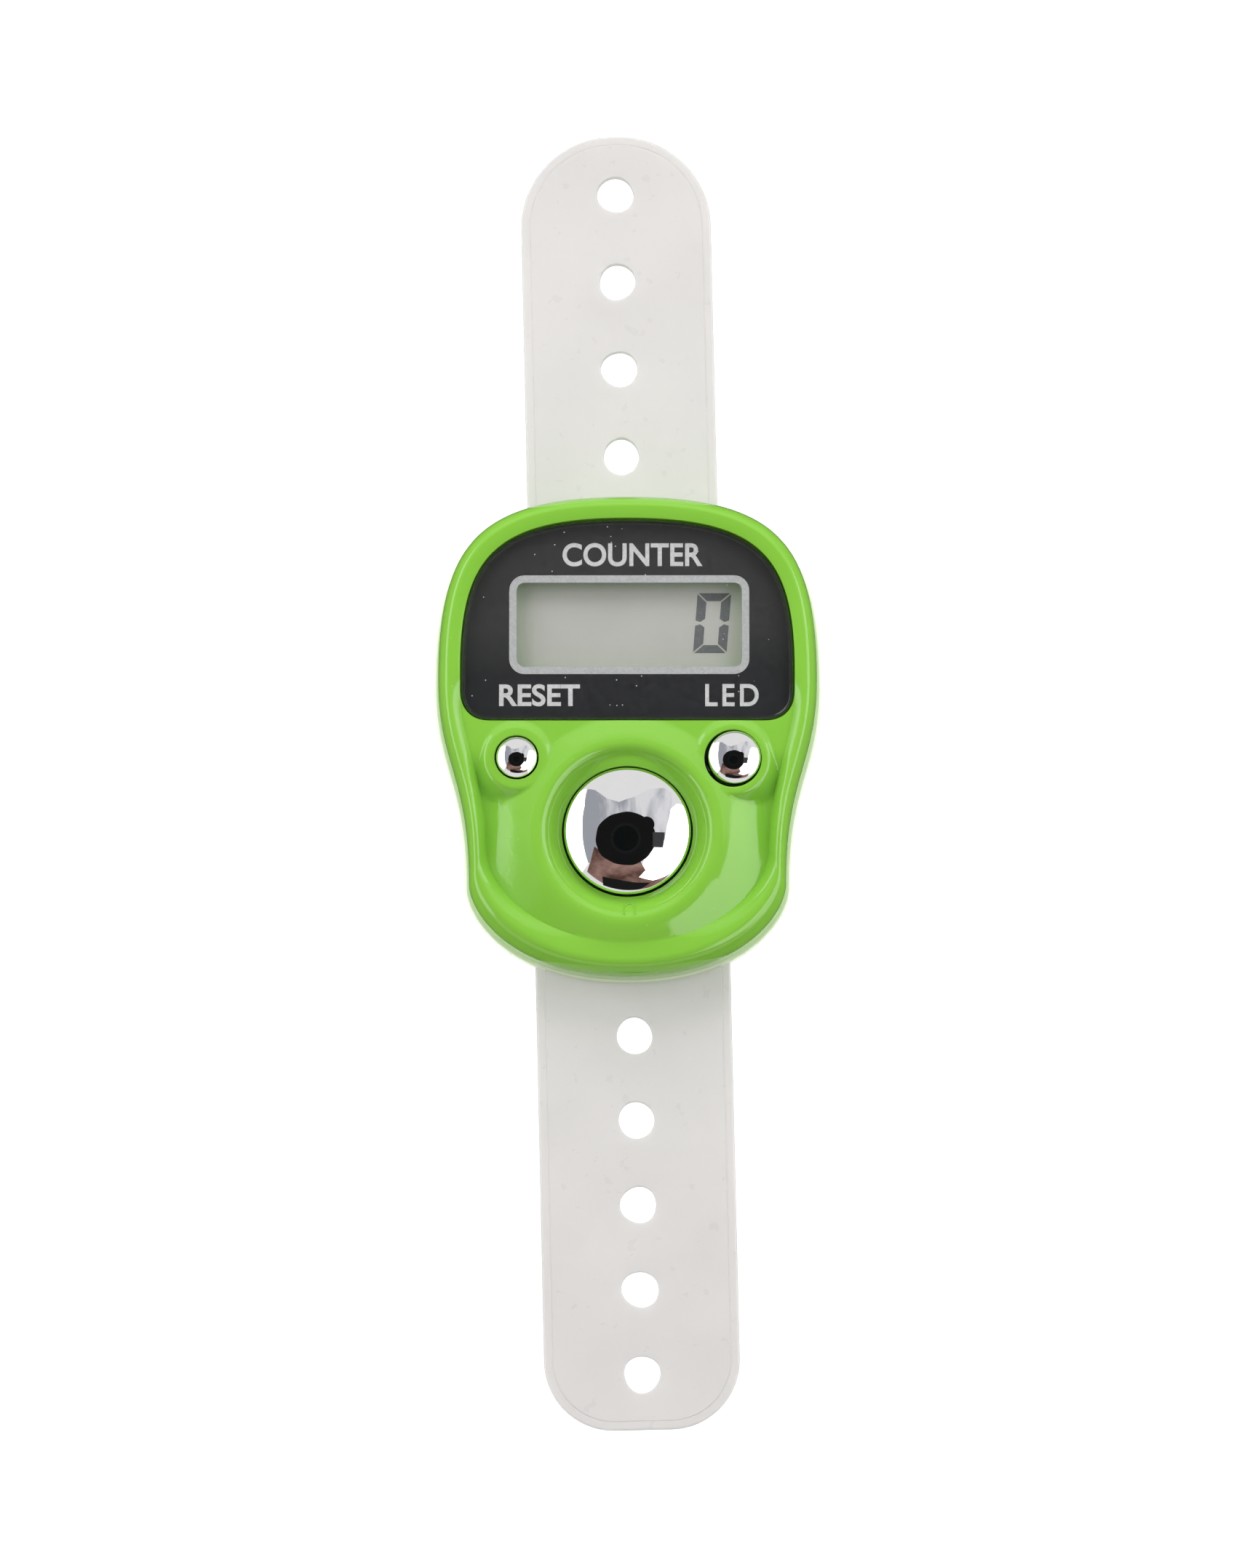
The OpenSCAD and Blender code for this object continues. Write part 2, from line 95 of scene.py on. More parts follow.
# The case's lower edge reaches CHIN further than the CAD node's.
CHIN = 0.6
LOW_H = CHIN - SHELL_LOW[1]
WAIST_HALF_W = 12.55
WALL = 1.2
COUNT_AT = np.array((0.0, -7.66))
RESET_AT = np.array((-8.67, -1.9))
LIGHT_AT = np.array((8.27, -1.98))
COUNT_HOLE_R = 5.2
RESET_HOLE_R = 1.8
LIGHT_HOLE_R = 2.32
HOLE_ROUND = 0.08
POCKET_GAP = 0.12
WINDOW_AT = np.array((0.14, 8.67))
SHELL_WINDOW = np.array((18.2, 7.2))
SHELL_WINDOW_R = 0.8


# -------- curves

def cubic(p, t):
    p = np.asarray(p, float)
    t = np.asarray(t, float)[:, None]
    return (1 - t) ** 3 * p[0] + 3 * t * (1 - t) ** 2 * p[1] + 3 * t * t * (1 - t) * p[2] + t ** 3 * p[3]


def line(a, b):
    a, b = np.asarray(a, float), np.asarray(b, float)
    return [a, a + (b - a) / 3, a + (b - a) * 2 / 3, b]


def even(curves, count):
    """count points, evenly spaced along a chain of cubic curves, without its last point."""
    fine = np.linspace(0, 1, 200)
    dense = np.vstack([cubic(c, fine) for c in curves])
    along = np.concatenate([[0], np.cumsum(np.linalg.norm(np.diff(dense, axis=0), axis=1))])
    at = np.linspace(0, along[-1], count + 1)[:-1]
    return np.column_stack([np.interp(at, along, dense[:, k]) for k in (0, 1)])


def mirrored(half, end):
    """A closed loop from its right half, which starts on the axis, and its end point on the axis."""
    left = half[:0:-1] * (-1, 1)
    return np.vstack([half, [end], left])


def inward(loop):
    """Unit normals that point into a closed loop which runs clockwise."""
    tangent = np.roll(loop, -1, axis=0) - np.roll(loop, 1, axis=0)
    tangent /= np.linalg.norm(tangent, axis=1)[:, None]
    return np.column_stack([tangent[:, 1], -tangent[:, 0]])


def at_z(loop, z):
    return np.column_stack([loop, np.broadcast_to(z, len(loop))])


def turns(count):
    return np.arange(count) * (2 * math.pi / count)


def ring(centre, r, count):
    a = turns(count)
    return np.column_stack([centre[0] + r * np.sin(a), centre[1] + r * np.cos(a)])


def arc(centre, r, start, stop, steps):
    """Points along a circle between two angles in degrees, clockwise from straight up."""
    angles = np.radians(np.linspace(start, stop, steps + 1))
    return [(centre[0] + r * math.sin(a), centre[1] + r * math.cos(a)) for a in angles]


def rounded_box(centre, size, r):
    """A rectangle with round corners, as a clockwise loop."""
    half = np.asarray(size) / 2 - r
    loop = []
    for k, way in enumerate(((1, 1), (1, -1), (-1, -1), (-1, 1))):
        loop += arc(centre + half * way, r, 90 * k, 90 * k + 90, 8)
    return np.array(loop)


def smoothstep(low, high, value):
    t = np.clip((value - low) / (high - low), 0, 1)
    return t * t * (3 - 2 * t)


def smooth_max(a, b, width):
    share = np.clip(0.5 + 0.5 * (a - b) / width, 0, 1)
    return b + (a - b) * share + width * share * (1 - share)


def inside(points, loop):
    """For each point, whether it is inside the loop."""
    result = np.zeros(len(points), bool)
    x, y = points[:, 0], points[:, 1]
    for (ax, ay), (bx, by) in zip(loop, np.roll(loop, -1, axis=0)):
        crosses = (ay > y) != (by > y)
        if not crosses.any():
            continue
        cut = (bx - ax) * (y - ay) / ((by - ay) or 1e-12) + ax
        result ^= crosses & (x < cut)
    return result


def fill_between(points, loops, distance):
    """The points inside the first loop, outside the others and at least a distance from each."""
    for k, loop in enumerate(loops):
        points = points[inside(points, loop) == (k == 0)]
    keep = np.ones(len(points), bool)
    for loop in loops:
        for a, b in zip(loop, np.roll(loop, -1, axis=0)):
            d = b - a
            t = np.clip(((points - a) @ d) / max(d @ d, 1e-12), 0, 1)
            keep &= np.linalg.norm(points - (a + t[:, None] * d), axis=1) > distance
    return points[keep]


def triangulated(loops, fill=()):
    """Points and triangles inside the first loop and outside the others, with more points from fill."""
    points, edges = [], []
    for loop in loops:
        base = len(points)
        points.extend(map(tuple, loop))
        edges.extend((base + i, base + (i + 1) % len(loop)) for i in range(len(loop)))
    points.extend(map(tuple, fill))
    found = delaunay_2d_cdt([Vector(p) for p in points], edges, [], 0, 1e-6)
    flat = np.array([tuple(v) for v in found[0]])
    faces = np.array([f for f in found[2] if len(f) == 3])
    middle = flat[faces].mean(axis=1)
    keep = inside(middle, loops[0])
    for hole in loops[1:]:
        keep &= ~inside(middle, hole)
    return flat, faces[keep]


# -------- meshes

def linked(name, data):
    obj = bpy.data.objects.new(name, data)
    bpy.context.scene.collection.objects.link(obj)
    return obj


def cleaned(mesh, weld, thickness=0.0):
    """Welds close points and turns faces outward; a thickness makes a flat mesh solid, downward."""
    work = bmesh.new()
    work.from_mesh(mesh)
    bmesh.ops.remove_doubles(work, verts=work.verts, dist=weld * MM)
    if thickness:
        made = bmesh.ops.extrude_face_region(work, geom=work.faces[:])
        moved = [e for e in made["geom"] if isinstance(e, bmesh.types.BMVert)]
        bmesh.ops.translate(work, verts=moved, vec=(0, 0, -thickness * MM))
    bmesh.ops.recalc_face_normals(work, faces=work.faces)
    work.to_mesh(mesh)
    work.free()


def finished(mesh, name, body, material, sharp):
    """Shades a mesh, gives it its material, slot and body, and returns its object."""
    mesh.shade_smooth()
    mesh.set_sharp_from_angle(angle=math.radians(sharp))
    obj = linked(name, mesh)
    mesh.materials.append(material)
    if body:
        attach(obj, body)
    return obj


class Builder:
    """Collects lofts and flat regions, and welds them into one mesh piece."""

    def __init__(self):
        self.points = []
        self.faces = []

    def add(self, points, faces):
        base = len(self.points)
        self.points.extend(map(tuple, points))
        self.faces.extend(tuple(base + i for i in f) for f in faces)

    def loft(self, loops):
        """Quads between each loop and the next; every loop has the same number of points."""
        n = len(loops[0])
        faces = []
        for k in range(len(loops) - 1):
            for i in range(n):
                j = (i + 1) % n
                faces.append((k * n + i, k * n + j, (k + 1) * n + j, (k + 1) * n + i))
        self.add(np.vstack(loops), faces)

    def solid(self, loops):
        """A loft that is closed at both ends."""
        self.loft(loops)
        for loop in (loops[0], loops[-1]):
            self.add(loop, [tuple(range(len(loop)))])
        return self

    def region(self, outer, holes, height, fill=()):
        """Triangles inside outer and outside holes, at one height or at height(x, y)."""
        flat, faces = triangulated([outer, *holes], fill)
        z = height(flat[:, 0], flat[:, 1]) if callable(height) else float(height)
        self.add(at_z(flat, z), faces)

    def piece(self, name, body, slot, material, sharp=35.0):
        mesh = bpy.data.meshes.new(name)
        mesh.from_pydata([tuple(c * MM for c in p) for p in self.points], [], self.faces)
        cleaned(mesh, 0.002)
        return finished(mesh, name, body, material, sharp)


def lathe(centre, profile, count):
    """A solid turned round an upright axis; profile is (radius, height) from bottom to top."""
    return Builder().solid([at_z(ring(centre, max(r, 0.001), count), z) for r, z in profile])


# -------- materials

def nodes_of(name):
    material = bpy.data.materials.new(name)
    material.use_nodes = True
    tree = material.node_tree
    return material, tree, tree.nodes["Principled BSDF"]


def give(tree, socket, value):
    """Links a socket to another one, or sets it to a value; a colour has three parts."""
    if isinstance(value, bpy.types.NodeSocket):
        tree.links.new(value, socket)
    else:
        socket.default_value = (*value, 1.0) if socket.type == "RGBA" else value


def feed(tree, node, **inputs):
    for key, value in inputs.items():
        give(tree, node.inputs[key.replace("_", " ")], value)
    return node


def add_node(tree, kind, **inputs):
    return feed(tree, tree.nodes.new("ShaderNode" + kind), **inputs)


def object_coords(tree):
    return add_node(tree, "TexCoord").outputs["Object"]


def noise(tree, scale, detail=3.0, roughness=0.55, vector=None):
    if vector is None:
        vector = object_coords(tree)
    node = add_node(tree, "TexNoise", Scale=scale, Detail=detail, Roughness=roughness, Vector=vector)
    return node.outputs["Fac"]


def spread(tree, value, low, high, out_low, out_high):
    """Maps a value from one range to another, clamped."""
    node = add_node(tree, "MapRange", Value=value, From_Min=low, From_Max=high, To_Min=out_low,
                    To_Max=out_high)
    return node.outputs["Result"]


def varied(tree, scale, low, high, detail=3.0):
    """Noise that wanders between two values."""
    return spread(tree, noise(tree, scale, detail), 0.3, 0.7, low, high)


def mix_colour(tree, factor, a, b):
    node = add_node(tree, "Mix")
    node.data_type = "RGBA"
    colours = [s for s in node.inputs if s.type == "RGBA"]
    for socket, value in zip((node.inputs[0], *colours), (factor, a, b)):
        give(tree, socket, value)
    return next(s for s in node.outputs if s.type == "RGBA")


def mix_shader(tree, factor, a, b):
    node = add_node(tree, "MixShader")
    for socket, value in zip(node.inputs, (factor, a, b)):
        give(tree, socket, value)
    return node.outputs["Shader"]


def math_node(tree, operation, a, b):
    node = add_node(tree, "Math")
    node.operation = operation
    give(tree, node.inputs[0], a)
    give(tree, node.inputs[1], b)
    return node.outputs[0]


def bump(tree, height, strength, distance_mm):
    node = add_node(tree, "Bump", Strength=strength, Distance=distance_mm * MM, Height=height)
    return node.outputs["Normal"]


def show(tree, shader):
    give(tree, tree.nodes["Material Output"].inputs["Surface"], shader)


def darker(colour, share):
    return tuple(c * share for c in colour)


def facing_away(tree):
    """1 where a face is seen from behind, and 0 elsewhere."""
    return add_node(tree, "NewGeometry").outputs["Backfacing"]


def specks(tree, scale, radius):
    """1 on sparse round specks and 0 elsewhere; scale is cells per metre and radius a share of a cell."""
    cells = add_node(tree, "TexVoronoi", Scale=scale, Randomness=1.0, Vector=object_coords(tree))
    near = math_node(tree, "LESS_THAN", cells.outputs["Distance"], radius)
    rare = math_node(tree, "GREATER_THAN", noise(tree, scale * 0.37, detail=1.0), 0.56)
    return math_node(tree, "MULTIPLY", near, rare)


def plastic(name, colour, shade, roughness, dust=0.25, scatter=0.0):
    """Moulded plastic: two close tones, a roughness that varies, fine dust and a slight grain."""
    material, tree, shader = nodes_of(name)
    tone = spread(tree, noise(tree, 90.0, 2.0), 0.35, 0.65, 0.0, 1.0)
    base = mix_colour(tree, tone, colour, shade)
    dusty = math_node(tree, "MULTIPLY", specks(tree, 900.0, 0.06), dust)
    lighter = tuple(min(1.0, c * 0.5 + 0.42) for c in colour)
    feed(tree, shader, Base_Color=mix_colour(tree, dusty, base, lighter), IOR=1.52,
         Roughness=varied(tree, 700.0, roughness * 0.75, roughness * 1.35, 4.0),
         Normal=bump(tree, noise(tree, 2600.0), 0.25, 0.02))
    if scatter:
        feed(tree, shader, Subsurface_Weight=scatter, Subsurface_Radius=(0.4, 1.0, 0.15),
             Subsurface_Scale=0.0008)
    return material


def metal(name, colour, roughness, scratch, grain_scale=400.0):
    """Metal with a wavering roughness and hairline scratches."""
    material, tree, shader = nodes_of(name)
    stretch = add_node(tree, "Mapping", Scale=(grain_scale,) * 3, Vector=object_coords(tree))
    grain = noise(tree, 1.0, 4.0, 0.7, stretch.outputs["Vector"])
    feed(tree, shader, Metallic=1.0, Base_Color=mix_colour(tree, grain, colour, darker(colour, 0.93)),
         Roughness=spread(tree, grain, 0.35, 0.7, roughness * 0.7, roughness * 1.5),
         Normal=bump(tree, grain, scratch, 0.004))
    return material


def ink(name, colour, roughness=0.5):
    """A screen-printed ink: mottled, with a faint sparkle."""
    material, tree, shader = nodes_of(name)
    mottle = varied(tree, 5200.0, 0.0, 1.0)
    feed(tree, shader, Base_Color=mix_colour(tree, mottle, colour, darker(colour, 0.78)),
         Roughness=varied(tree, 1800.0, roughness * 0.8, roughness * 1.2))
    return material


def black_print():
    """Glossy black ink, with a painted reflection that makes it a little paler towards the top of the lens."""
    material, tree, shader = nodes_of("black_ink_painted_reflection")
    split = add_node(tree, "SeparateXYZ", Vector=object_coords(tree))
    wander = math_node(tree, "MULTIPLY", noise(tree, 120.0, 1.0), 0.004)
    height = math_node(tree, "ADD", split.outputs["Y"], wander)
    # Painted reflection: the ink turns paler towards the top of the lens, where the lens mirrors paler
    # surroundings.
    upper = spread(tree, height, 0.0062, 0.0105, 0.0, 1.0)
    feed(tree, shader, Base_Color=mix_colour(tree, upper, (0.0165, 0.017, 0.019), (0.033, 0.033, 0.0335)),
         Roughness=varied(tree, 1800.0, 0.35, 0.5))
    return material


def clear_lens():
    """Clear acrylic that lets lamps through: it mirrors by its angle and is open otherwise."""
    material, tree, shader = nodes_of("clear_acrylic")
    tree.nodes.remove(shader)
    rough = varied(tree, 350.0, 0.03, 0.06)
    gloss = add_node(tree, "BsdfAnisotropic", Color=(1.0, 1.0, 1.0), Roughness=rough)
    clear = add_node(tree, "BsdfTransparent", Color=(0.985, 0.985, 0.985))
    fresnel = add_node(tree, "Fresnel", IOR=1.49)
    outside = math_node(tree, "SUBTRACT", 1.0, facing_away(tree))
    mirror = math_node(tree, "MULTIPLY", fresnel.outputs["Fac"], outside)
    bare = mix_shader(tree, mirror, clear.outputs["BSDF"], gloss.outputs["BSDF"])
    dust = add_node(tree, "BsdfDiffuse", Color=(0.5, 0.5, 0.5))
    show(tree, mix_shader(tree, specks(tree, 1100.0, 0.055), bare, dust.outputs["BSDF"]))
    return material


def vinyl(name, colour, shade, cover, ior=1.5, painted_glow=0.0):
    """Frosted clear vinyl: soft light comes through it, and it can get a painted glow of its own colour that
    stands in for light carried along the vinyl to an edge.
    """
    material, tree, shader = nodes_of(name)
    cloud = varied(tree, 140.0, 0.0, 1.0)
    feed(tree, shader, Base_Color=mix_colour(tree, cloud, colour, shade), IOR=ior,
         Alpha=spread(tree, cloud, 0.0, 1.0, cover, cover + 0.05), Roughness=varied(tree, 900.0, 0.26, 0.4),
         Subsurface_Weight=0.5, Subsurface_Radius=(1.0, 0.95, 0.9), Subsurface_Scale=0.0012,
         Emission_Color=colour, Emission_Strength=painted_glow,
         Normal=bump(tree, noise(tree, 3200.0, 2.0), 0.2, 0.01))
    return material


def rubber(name, colour):
    material, tree, shader = nodes_of(name)
    tone = noise(tree, 400.0)
    feed(tree, shader, Base_Color=mix_colour(tree, tone, colour, darker(colour, 0.85)),
         Roughness=spread(tree, tone, 0.3, 0.7, 0.55, 0.75),
         Normal=bump(tree, noise(tree, 5000.0), 0.3, 0.01))
    return material


def display_face():
    """The display through its polariser: grey, in two close tones."""
    material, tree, shader = nodes_of("lcd_face")
    tone = varied(tree, 160.0, 0.0, 1.0, 2.0)
    feed(tree, shader, Base_Color=mix_colour(tree, tone, (0.475, 0.47, 0.445), (0.45, 0.445, 0.42)),
         Roughness=varied(tree, 2400.0, 0.42, 0.6))
    return material


GREEN = plastic("green_abs", (0.24, 0.55, 0.058), (0.228, 0.53, 0.052), 0.085, scatter=0.12)
CHROME = metal("chrome_plate", (0.93, 0.93, 0.935), 0.022, 0.02, 900.0)
BLACK_INK = black_print()
SILVER_INK = ink("silver_ink", (0.63, 0.63, 0.635))
FRAME_INK = ink("frame_ink", (0.48, 0.485, 0.49))
DISPLAY_INK = ink("lcd_segment", (0.155, 0.16, 0.17), 0.4)
CLEAR = clear_lens()
VINYL = vinyl("frosted_vinyl", (0.68, 0.655, 0.645), (0.65, 0.63, 0.62), 0.62)
# Painted light: the clamped ring's vinyl is a paler, greener copy of the strap's with a painted glow; the paleness
# and glow stand in for light on its shaded edge, the green for light bounced from the case.
RING_VINYL_PAINTED_LIGHT = vinyl("frosted_vinyl_ring_painted_light", (0.85, 0.93, 0.72), (0.82, 0.9, 0.7), 0.5, 1.2, 0.28)
RUBBER = rubber("silicone_grey", (0.42, 0.42, 0.43))
CARBON = rubber("carbon_pill", (0.02, 0.02, 0.022))
LCD_FACE = display_face()
STEEL = metal("screw_steel", (0.62, 0.61, 0.6), 0.24, 0.08)
CELL = metal("cell_steel", (0.7, 0.7, 0.69), 0.2, 0.06)
BRASS = metal("contact_brass", (0.78, 0.6, 0.29), 0.26, 0.06)
BOARD = plastic("board_mask", (0.03, 0.16, 0.07), (0.025, 0.13, 0.06), 0.35, 0.1)
EPOXY = plastic("chip_epoxy", (0.02, 0.02, 0.022), (0.03, 0.03, 0.032), 0.3, 0.1)
CERAMIC = plastic("smd_ceramic", (0.32, 0.22, 0.13), (0.26, 0.18, 0.1), 0.5, 0.1)
GUIDE = plastic("light_guide_white", (0.78, 0.79, 0.8), (0.74, 0.75, 0.76), 0.2, scatter=0.4)
FILM = plastic("reflector_film", (0.6, 0.6, 0.6), (0.55, 0.55, 0.55), 0.25, 0.1)
GLASS = plastic("display_glass", (0.4, 0.42, 0.41), (0.38, 0.4, 0.39), 0.06, 0.1)
LAMP = plastic("led_body", (0.75, 0.7, 0.5), (0.7, 0.66, 0.48), 0.2, 0.1)

KEPT = {
    "count_contact_pill": CARBON, "reset_contact_pill": CARBON, "light_contact_pill": CARBON,
    "zebra_strip": CARBON, "lcd_polariser": LCD_FACE, "lcd_front_glass": GLASS, "lcd_rear_glass": GLASS,
    "lcd_reflector": FILM, "light_guide": GUIDE, "led": LAMP, "circuit_board": BOARD,
    "chip_blob": EPOXY, "smd_components": CERAMIC, "battery_cell": CELL,
    "battery_positive_clip": BRASS, "battery_negative_spring": BRASS, "battery_door": GREEN,
    "battery_door_screw": STEEL, "case_screws": STEEL, "board_screws": STEEL,
}
for node_name, finish in KEPT.items():
    kept = frame["nodes"][node_name]
    if not kept.data.materials:
        kept.data.materials.append(finish)
    for slot in kept.material_slots:
        slot.link = "OBJECT"
        slot.material = finish


# -------- outlines

# Point counts of the stretches of a half outline, and of the lens's corner and foot.
UPPER_COUNT, MIDDLE_COUNT, LOWER_COUNT = 84, 52, 60
CORNER_COUNT = 44
LENS_CORNER_Y = 3.4
VALLEY_SIDE = 11.05
VALLEY_FOOT = -16.4


def chained(upper, middle, lower, end):
    half = [even(upper, UPPER_COUNT), even(middle, MIDDLE_COUNT), even(lower, LOWER_COUNT)]
    return mirrored(np.vstack(half), end)


def case_loop():
    """The case seen from the front, clockwise from the top."""
    a = [[(0, TOP_H), (11.7, TOP_H), (HALF_W, 15.5), (HALF_W, 4.4)]]
    b = [[(HALF_W, 4.4), (HALF_W, -2.25), (WAIST_HALF_W, -3.2), (WAIST_HALF_W, -11.7)]]
    c = [[(WAIST_HALF_W, -11.7), (WAIST_HALF_W, -14), (9.1, -LOW_H), (0, -LOW_H)]]
    return chained(a, b, c, (0, -LOW_H))


def lens_curves(grow):
    """Right half of the lens, from the top: the arch and side, and then the corner and foot."""
    top, side, foot = LENS_TOP_Y + grow, LENS_HALF_W + grow, LENS_FOOT_Y - grow
    turn = (side, LENS_CORNER_Y)
    arch = [[(0, top), (10.4, top), (side, 14), (side, 5)], line((side, 5), turn)]
    corner = [[turn, (side, 2), (12.2 + grow, foot), (10.8, foot)], line((10.8, foot), (0, foot))]
    return arch, corner


def lens_loop(grow):
    arch, corner = lens_curves(grow)
    half = np.vstack([even(arch, UPPER_COUNT), even(corner, CORNER_COUNT)])
    return mirrored(half, (0, LENS_FOOT_Y - grow))


def rim_inner_loop():
    """Where the rim ends: the edge of the lens pocket above, and the valley line round the dish below."""
    arch, _ = lens_curves(POCKET_GAP)
    side = LENS_HALF_W + POCKET_GAP
    b = [[(side, LENS_CORNER_Y), (side, -0.6), (VALLEY_SIDE, -3.4), (VALLEY_SIDE, -9)]]
    c = [[(VALLEY_SIDE, -9), (VALLEY_SIDE, -12.4), (6.4, VALLEY_FOOT), (0, VALLEY_FOOT)]]
    return chained(arch, b, c, (0, VALLEY_FOOT))


CASE = case_loop()
CASE_IN = inward(CASE)
RIM_INNER = rim_inner_loop()


def inset(distance):
    return CASE + CASE_IN * distance


# -------- the front shell

# The raised ring round the large button: its top, the fall into the hole, and its outer flank.
CREST_R = 7.0
CREST_Z = 11.05
LIP_DROP = 1.3
LIP_POWER = 1.2
FLANK_SLOPE = 0.54
FLANK_ROUND = 0.8
CREST_BLEND = 0.12

# The ground round it: heights, and the stretches of y where one passes into the next.
PLATEAU_Z = 10.34
POCKET_EDGE_Z = 10.84
VALLEY_Z = 9.3
FOOT_RISE = 0.5
POCKET_RISE_Y = (1.6, 5.0)
VALLEY_FALL_Y = (-1.2, -5.2)
FOOT_RISE_Y = (-11.0, -15.5)

# The rings round the small buttons.
BOSS_Z = 10.72
BOSS_RESET_R = 2.3
BOSS_LIGHT_R = 2.62
BOSS_SLOPE = 1.1
BOSS_ROUND = 0.25
BOSS_BLEND = 0.14

# The rim: its side wall, how far across its top lies, and its inner face's angle below and beside the lens.
RIM_DIP = 0.65
RIM_DIP_Y = (-6.0, -14.0)
DRAFT = 0.1
EDGE_CUT = 0.08
SHOULDER_Z = 8.0
CREST_SHARE = 0.52
INNER_ANGLE = 46.0
INNER_ANGLE_LESS = 16.0
INNER_ANGLE_Y = (-3.0, 3.0)
RIM_STEPS = 14

# Mesh points inside the dish: rings round each button, and a grid beyond them.
COUNT_FAR, RESET_FAR, LIGHT_FAR = 10.4, 3.4, 3.7
GRID_LOW, GRID_HIGH = (-13.4, -17.2), (13.4, 3.6)
GRID_STEP = 0.26
GRID_ROW = 0.87 * GRID_STEP
EDGE_CLEAR = 0.09


def ramp(distance, slope, soft):
    """Rises with distance at a slope, with a soft start."""
    d = np.maximum(distance, 0)
    return slope * (np.sqrt(d * d + soft * soft) - soft)


def plateau_height(y):
    return PLATEAU_Z + (POCKET_EDGE_Z - PLATEAU_Z) * smoothstep(*POCKET_RISE_Y, y)


def dish_height(x, y):
    """Height of the front shell inside its rim, below the lens."""
    r = np.hypot(x - COUNT_AT[0], y - COUNT_AT[1])
    inner = LIP_DROP * smoothstep(0, 1, (CREST_R - r) / (CREST_R - COUNT_HOLE_R)) ** LIP_POWER
    crater = CREST_Z - ramp(r - CREST_R, FLANK_SLOPE, FLANK_ROUND) - np.where(r < CREST_R, inner, 0)
    base = plateau_height(y) - (PLATEAU_Z - VALLEY_Z) * smoothstep(*VALLEY_FALL_Y, y)
    base = base + FOOT_RISE * smoothstep(*FOOT_RISE_Y, y)
    height = smooth_max(crater, base, CREST_BLEND)
    for centre, crest in ((RESET_AT, BOSS_RESET_R), (LIGHT_AT, BOSS_LIGHT_R)):
        d = np.hypot(x - centre[0], y - centre[1])
        height = smooth_max(height, BOSS_Z - ramp(d - crest, BOSS_SLOPE, BOSS_ROUND), BOSS_BLEND)
    return height


def shell_edge_z(loop):
    """Height of the shell along a loop: beside and above the lens, and below its corners."""
    x, y = loop[:, 0], loop[:, 1]
    return np.where(y > LENS_CORNER_Y - 0.01, plateau_height(y), dish_height(x, y))


def rim_loops():
    """Loops from the foot of the side wall over the rounded rim to its inner edge."""
    across = RIM_INNER - CASE
    edge_z = shell_edge_z(RIM_INNER)
    crest_z = RIM_Z - RIM_DIP * smoothstep(*RIM_DIP_Y, CASE[:, 1])
    steepest = INNER_ANGLE - INNER_ANGLE_LESS * smoothstep(*INNER_ANGLE_Y, RIM_INNER[:, 1])
    loops = [at_z(inset(EDGE_CUT), SEAM_Z), at_z(inset(0.0), SEAM_Z + EDGE_CUT)]
    loops += [at_z(inset(DRAFT * t), SEAM_Z + (SHOULDER_Z - SEAM_Z) * t) for t in (0.25, 0.5, 0.75)]
    for a in np.radians(np.linspace(0, 90, RIM_STEPS + 1)):
        share = CREST_SHARE * (1 - math.cos(a))
        loop = CASE + CASE_IN * DRAFT * (1 - share) + across * share
        loops.append(at_z(loop, SHOULDER_Z + (crest_z - SHOULDER_Z) * math.sin(a)))
    last = np.radians(steepest)
    for i in range(1, RIM_STEPS + 1):
        a = last * i / RIM_STEPS
        share = CREST_SHARE + (1 - CREST_SHARE) * np.sin(a) / np.sin(last)
        drop = (1 - np.cos(a)) / (1 - np.cos(last))
        loops.append(at_z(CASE + across * share[:, None], crest_z - (crest_z - edge_z) * drop))
    return loops


def dish_outline():
    """The dish's boundary: the valley line below, and the lens pocket's foot and corners above."""
    _, corner = lens_curves(POCKET_GAP)
    foot = even(corner, CORNER_COUNT)
    valley = RIM_INNER[UPPER_COUNT:len(RIM_INNER) - UPPER_COUNT + 1]
    left = foot[1:] * (-1, 1)
    right = foot[:0:-1]
    middle = np.array([[0.0, LENS_FOOT_Y - POCKET_GAP]])
    return np.vstack([valley, left, middle, right])


def ring_grid(centre, first, last, row, step):
    """Points on rings a row apart round a centre, and a step apart along each ring."""
    return [p for r in np.arange(first, last, row) for p in ring(centre, r, int(2 * math.pi * r / step))]


def dish_fill():
    """Points inside the dish: rings round the buttons, and an even grid elsewhere."""
    small = ((RESET_AT, RESET_HOLE_R, RESET_FAR), (LIGHT_AT, LIGHT_HOLE_R, LIGHT_FAR))

    def free(p):
        return all(np.hypot(*(p - c)) > far + 0.08 for c, _, far in small)

    points = [p for p in ring_grid(COUNT_AT, COUNT_HOLE_R + 0.12, COUNT_FAR, 0.17, 0.3) if free(p)]
    for centre, hole, far in small:
        points += ring_grid(centre, hole + 0.1, far, 0.13, 0.22)
    for i, y in enumerate(np.arange(GRID_LOW[1], GRID_HIGH[1], GRID_ROW)):
        for x in np.arange(GRID_LOW[0], GRID_HIGH[0], GRID_STEP) + (GRID_STEP / 2) * (i % 2):
            p = np.array((x, y))
            if np.hypot(*(p - COUNT_AT)) > COUNT_FAR + 0.05 and free(p):
                points.append(p)
    return np.array(points)


